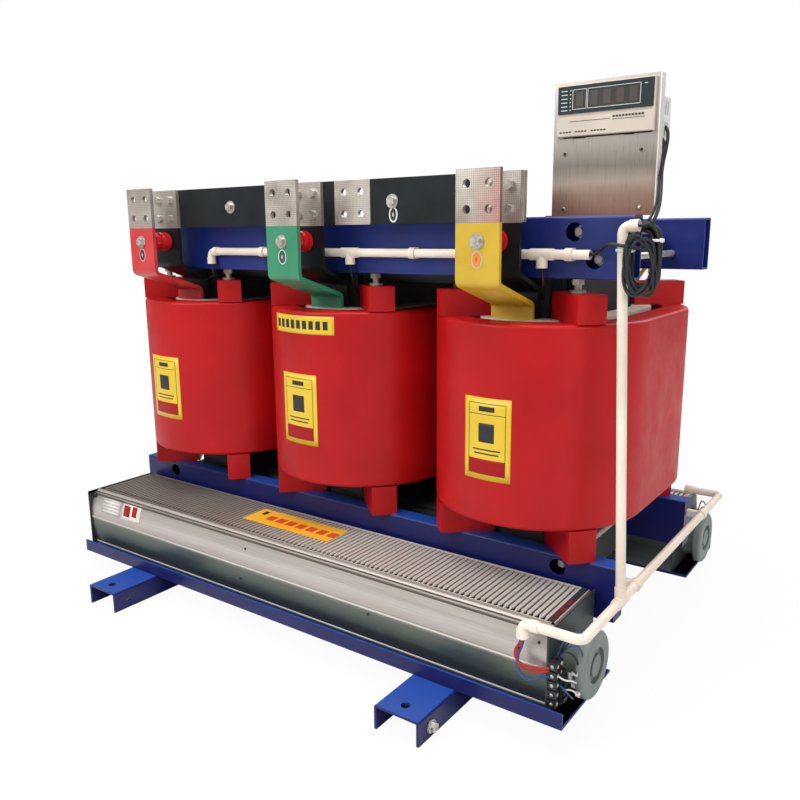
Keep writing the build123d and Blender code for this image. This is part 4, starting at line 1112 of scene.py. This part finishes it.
# %% Control cable
def cable_curve(name, points, diameter, material):
    """One open NURBS spline of order 3 with a round section and closed ends."""
    data = bpy.data.curves.new(name, "CURVE")
    data.dimensions, data.bevel_depth, data.bevel_resolution, data.resolution_u = "3D", diameter / 2, 4, 6
    data.use_fill_caps = True
    spline = data.splines.new("NURBS")
    spline.points.add(len(points) - 1)
    spline.points.foreach_set("co", np.concatenate([points, np.ones((len(points), 1))], 1).ravel())
    spline.order_u = 3
    spline.use_endpoint_u = True
    piece = bpy.data.objects.new(name, data)
    bpy.context.scene.collection.objects.link(piece)
    data.materials.append(material)
    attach(piece, FIXED)
    return piece


cable_low = low_high("control_cable")[0]
conduit_mouth = np.array([cable_low[0] + 0.004, drop_y, cable_low[2] + 0.0045])
first, last = turns[0], turns[-1]
lead_in = np.array([
    conduit_mouth, conduit_mouth + [0.018, 0, 0.001], conduit_mouth + [0.034, -0.014, 0.010],
    (0.7290, -0.3345, 0.9680), (0.7560, -0.3360, 0.9660), (0.7780, -0.3320, 0.9600),
    (0.7960, -0.3180, 0.9600), first + [-0.004, -0.009, 0.012], first + [0.0, -0.002, 0.006]])
lead_out = np.array([
    last + [0.006, 0.000, 0.0005], last + [0.016, 0.003, 0.004], (0.8030, -0.2830, 1.0160),
    (0.8020, -0.2620, 1.0420), (0.7925, -0.2320, 1.0750), (0.7860, -0.2100, 1.1150),
    (0.7870, -0.1900, 1.1550), (BODY_HIGH[0] + 0.008, -0.1740, 1.1850),
    (BODY_HIGH[0] + 0.001, -0.1700, 1.1920)])
route = np.concatenate([lead_in, turns, lead_out])
cable = cable_curve("control_cable_run", route, CABLE_D, black_rubber)
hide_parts("control_cable", "cable_hank")

# %% [markdown]
# Two thinner leads run beside it: one from the riser's mouth and one out of the hank, both up to
# the controller's side. A slack lead hangs below in loose loops. Each loop is an ellipse, and
# slow waves change its lean and its size, so that no two loops lie alike.

# %% Leads and slack loops
LEADS = [[(0.7790, -0.3150, 1.0015), (0.7960, -0.3150, 1.0010), (0.8060, -0.3000, 1.0120),
          (0.8060, -0.2720, 1.0340), (0.7960, -0.2360, 1.0700), (0.7880, -0.2160, 1.1100),
          (0.7860, -0.2000, 1.1400), (0.7840, -0.1880, 1.1600), (0.7740, -0.1840, 1.1700)],
         [(0.7700, -0.2900, 0.9900), (0.7860, -0.2900, 1.0060), (0.7960, -0.2820, 1.0200),
          (0.7960, -0.2600, 1.0460), (0.7880, -0.2300, 1.0800), (0.7850, -0.2140, 1.1200),
          (0.7860, -0.2050, 1.1450), (0.7800, -0.2000, 1.1620), (0.7740, -0.1980, 1.1700)]]
place(tubes("controller_leads", [soft_path(p) for p in LEADS], 0.0025), black_rubber)


def slack_path(loops=5.4, per_turn=48):
    """An ellipse (w cos a, h sin a), turned by a slow angle while it runs; its left side is in front.

    The depth goes from front to rear by the smooth step s s (3 - 2 s) of the point's share in X.
    """
    t = np.arange(int(loops * per_turn) + 1) / per_turn
    a, lean = 2 * pi * t + pi / 2, np.radians(3 + 13 * np.sin(2 * pi * t / 2.7))
    w, h = 0.0205 + 0.0035 * np.sin(2 * pi * t / 1.9), 0.0550 + 0.0045 * np.cos(2 * pi * t / 3.3)
    x = 0.7905 + w * np.cos(a) * np.cos(lean) - h * np.sin(a) * np.sin(lean)
    z = 0.9270 + w * np.cos(a) * np.sin(lean) + h * np.sin(a) * np.cos(lean)
    share = np.clip((x - 0.7830) / 0.0280, 0, 1)
    y = -0.3410 + 0.0330 * share ** 2 * (3 - 2 * share) - 0.0030 * np.cos(2 * pi * t / 1.3)
    return np.stack([x, y, z], 1)


slack = slack_path()
place(tubes("slack_loops", [slack], 0.0027), black_rubber)
lead_lengths = [round(path_length(soft_path(p)), 3) for p in LEADS]
print("leads", lead_lengths, "slack lead", round(path_length(slack), 3))

# %% [markdown]
# White ties hold the hank to the riser and close its right side. A tie is a band round the bundle:
# an oval carried up by the band's height, to which a Solidify modifier adds the wall.

# %% Ties
def tie(name, centre, half_x, half_y, height=0.005, thick=0.0012):
    """A band: the oval (hx cos t, hy sin t) carried up by its height, with a wall half on each side."""
    t = np.linspace(0, 2 * pi, 36, endpoint=False)
    x, y = centre[0] + half_x * np.cos(t), centre[1] + half_y * np.sin(t)
    rim = np.stack([x, y, np.full_like(t, centre[2])], 1)
    grid = np.stack([rim - [0, 0, height / 2], rim + [0, 0, height / 2]])
    piece = grid_piece(name, grid, close_columns=True)
    thicken(piece, thick, 0)
    return place(piece, white_case)


tie("tie_riser", (0.7550, -0.3035, 0.9560), 0.0165, 0.0265)
tie("tie_hank", (hank_high[0] - 0.0114, (hank_low[1] + hank_high[1]) / 2, 0.9740), 0.0128, 0.0128)
knots = [(hank_high[0] - 0.0015, -0.2950, 0.9740), (0.7710, -0.3170, 0.9560)]
place(boxes("tie_knots", knots, (0.007, 0.006, 0.008)), white_case)
print("ties with", len(knots), "knots")

# %% [markdown]
# ## Setting, light and camera
# The object stands on a white floor that keeps its soft shadow. A floor lit to white would need
# more light than the object can take, so camera rays see plain white, by a share that grows a
# little with the distance from the middle. Under the channels the floor stays dark, so that the
# holes in their tops look deep, except near their open ends.

# %% Floor
corner = np.linspace(-14, 14, 2)
floor = grid_piece("floor", np.stack(np.broadcast_arrays(corner[None, :], corner[:, None], -0.0005), -1),
                   smooth=False)
floor_paint = finish("floor paint", (236, 236, 236), 0.85)
away = add(floor_paint, "VectorMath", operation="LENGTH")
join(floor_paint, object_point(floor_paint), away.inputs[0])
white_share = spread(floor_paint, away.outputs["Value"], 0.95, 1.0, 0.9, 1.7)
OPEN_END = 0.060
for channel in named("base_channel"):
    (x0, y0, _), (x1, y1, _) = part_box(channel)
    inside_x = between(floor_paint, coordinate(floor_paint, "X"), x0, x1)
    inside_y = between(floor_paint, coordinate(floor_paint, "Y"), y0 + OPEN_END, y1 - OPEN_END)
    outside = maths(floor_paint, "SUBTRACT", 1.0, times(floor_paint, inside_x, inside_y))
    white_share = times(floor_paint, white_share, outside)

emission, mixer = add(floor_paint, "Emission", Strength=1.0), add(floor_paint, "MixShader")
rays = add(floor_paint, "LightPath").outputs
seen = maths(floor_paint, "MAXIMUM", rays["Is Camera Ray"], rays["Is Transmission Ray"])
join(floor_paint, times(floor_paint, seen, white_share), mixer.inputs[0])
join(floor_paint, shader_of(floor_paint).outputs[0], mixer.inputs[1])
join(floor_paint, emission.outputs[0], mixer.inputs[2])
join(floor_paint, mixer.outputs[0], floor_paint.node_tree.nodes["Material Output"].inputs["Surface"])
floor.data.materials.append(floor_paint)
print("floor", floor.dimensions[:2])

# %% [markdown]
# The world is two backgrounds: a warm dim one that lights the object and a white one that only the
# camera sees. One bright world would bleach the colours.

# %% World
world = bpy.data.worlds.new("studio")
bpy.context.scene.world = world
world.use_nodes = True
sky = world.node_tree
backdrop, path = sky.nodes["Background"], sky.nodes.new("ShaderNodeLightPath")
plain, choose = sky.nodes.new("ShaderNodeBackground"), sky.nodes.new("ShaderNodeMixShader")
for background, colour, strength in ((plain, (1, 1, 1, 1), 1.0), (backdrop, (1.0, 0.985, 0.96, 1), 0.42)):
    background.inputs["Color"].default_value = colour
    background.inputs["Strength"].default_value = strength
for output, target in ((path.outputs["Is Camera Ray"], choose.inputs[0]),
                       (backdrop.outputs[0], choose.inputs[1]),
                       (plain.outputs[0], choose.inputs[2]),
                       (choose.outputs[0], sky.nodes["World Output"].inputs["Surface"])):
    sky.links.new(output, target)
print("world", world.name)

# %% [markdown]
# Four soft disc lamps stand round the object: a key from the front left, a cool one above, a fill
# from the right and one behind, so that turned views are lit too. Their power is set low enough for
# pale surfaces to keep their tone.

# %% Lamps
def lamp(name, place_at, aim, size, power, colour=(1, 1, 1)):
    """A soft disc lamp that looks at a point; size is its width in metres and power is in watts."""
    data = bpy.data.lights.new(name, "AREA")
    data.shape, data.size, data.energy, data.color = "DISK", size, power, colour
    made = bpy.data.objects.new(name, data)
    bpy.context.scene.collection.objects.link(made)
    made.location = place_at
    made.rotation_euler = (Vector(aim) - Vector(place_at)).to_track_quat("-Z", "Y").to_euler()


lamp("key", (-2.2, -4.2, 3.6), (0, 0, 0.5), 2.6, 150)
lamp("sky", (0.4, -0.8, 4.2), (0, -0.1, 0.4), 3.2, 120, (0.95, 0.97, 1.0))
lamp("fill", (4.6, -2.2, 2.4), (0, 0, 0.6), 3.0, 60)
lamp("back", (1.5, 4.5, 3.8), (0, 0, 0.6), 3.0, 90)
bpy.context.scene.view_settings.view_transform = "Standard"
print("lamps", len(bpy.data.lights))

# %% [markdown]
# The camera stands before the right front corner, about a metre up, and looks down by twelve
# degrees. It could be aimed by a constraint, but three turns in a fixed order are easier to read:
# yaw round the upright, then pitch, then a trace of roll.

# %% Camera
YAW, PITCH, ROLL = radians(35.62), radians(12.10), radians(-0.51)
camera_data = bpy.data.cameras.new("camera")
camera_data.sensor_width, camera_data.lens = 36.0, 35.11
camera = bpy.data.objects.new("camera", camera_data)
bpy.context.scene.collection.objects.link(camera)
camera.location = (1.2885, -1.7957, 0.9923)
camera.rotation_euler = (Matrix.Rotation(YAW, 3, "Z") @ Matrix.Rotation(radians(90) - PITCH, 3, "X")
                         @ Matrix.Rotation(ROLL, 3, "Z")).to_euler()
bpy.context.scene.camera = camera
print("camera lens", camera_data.lens)
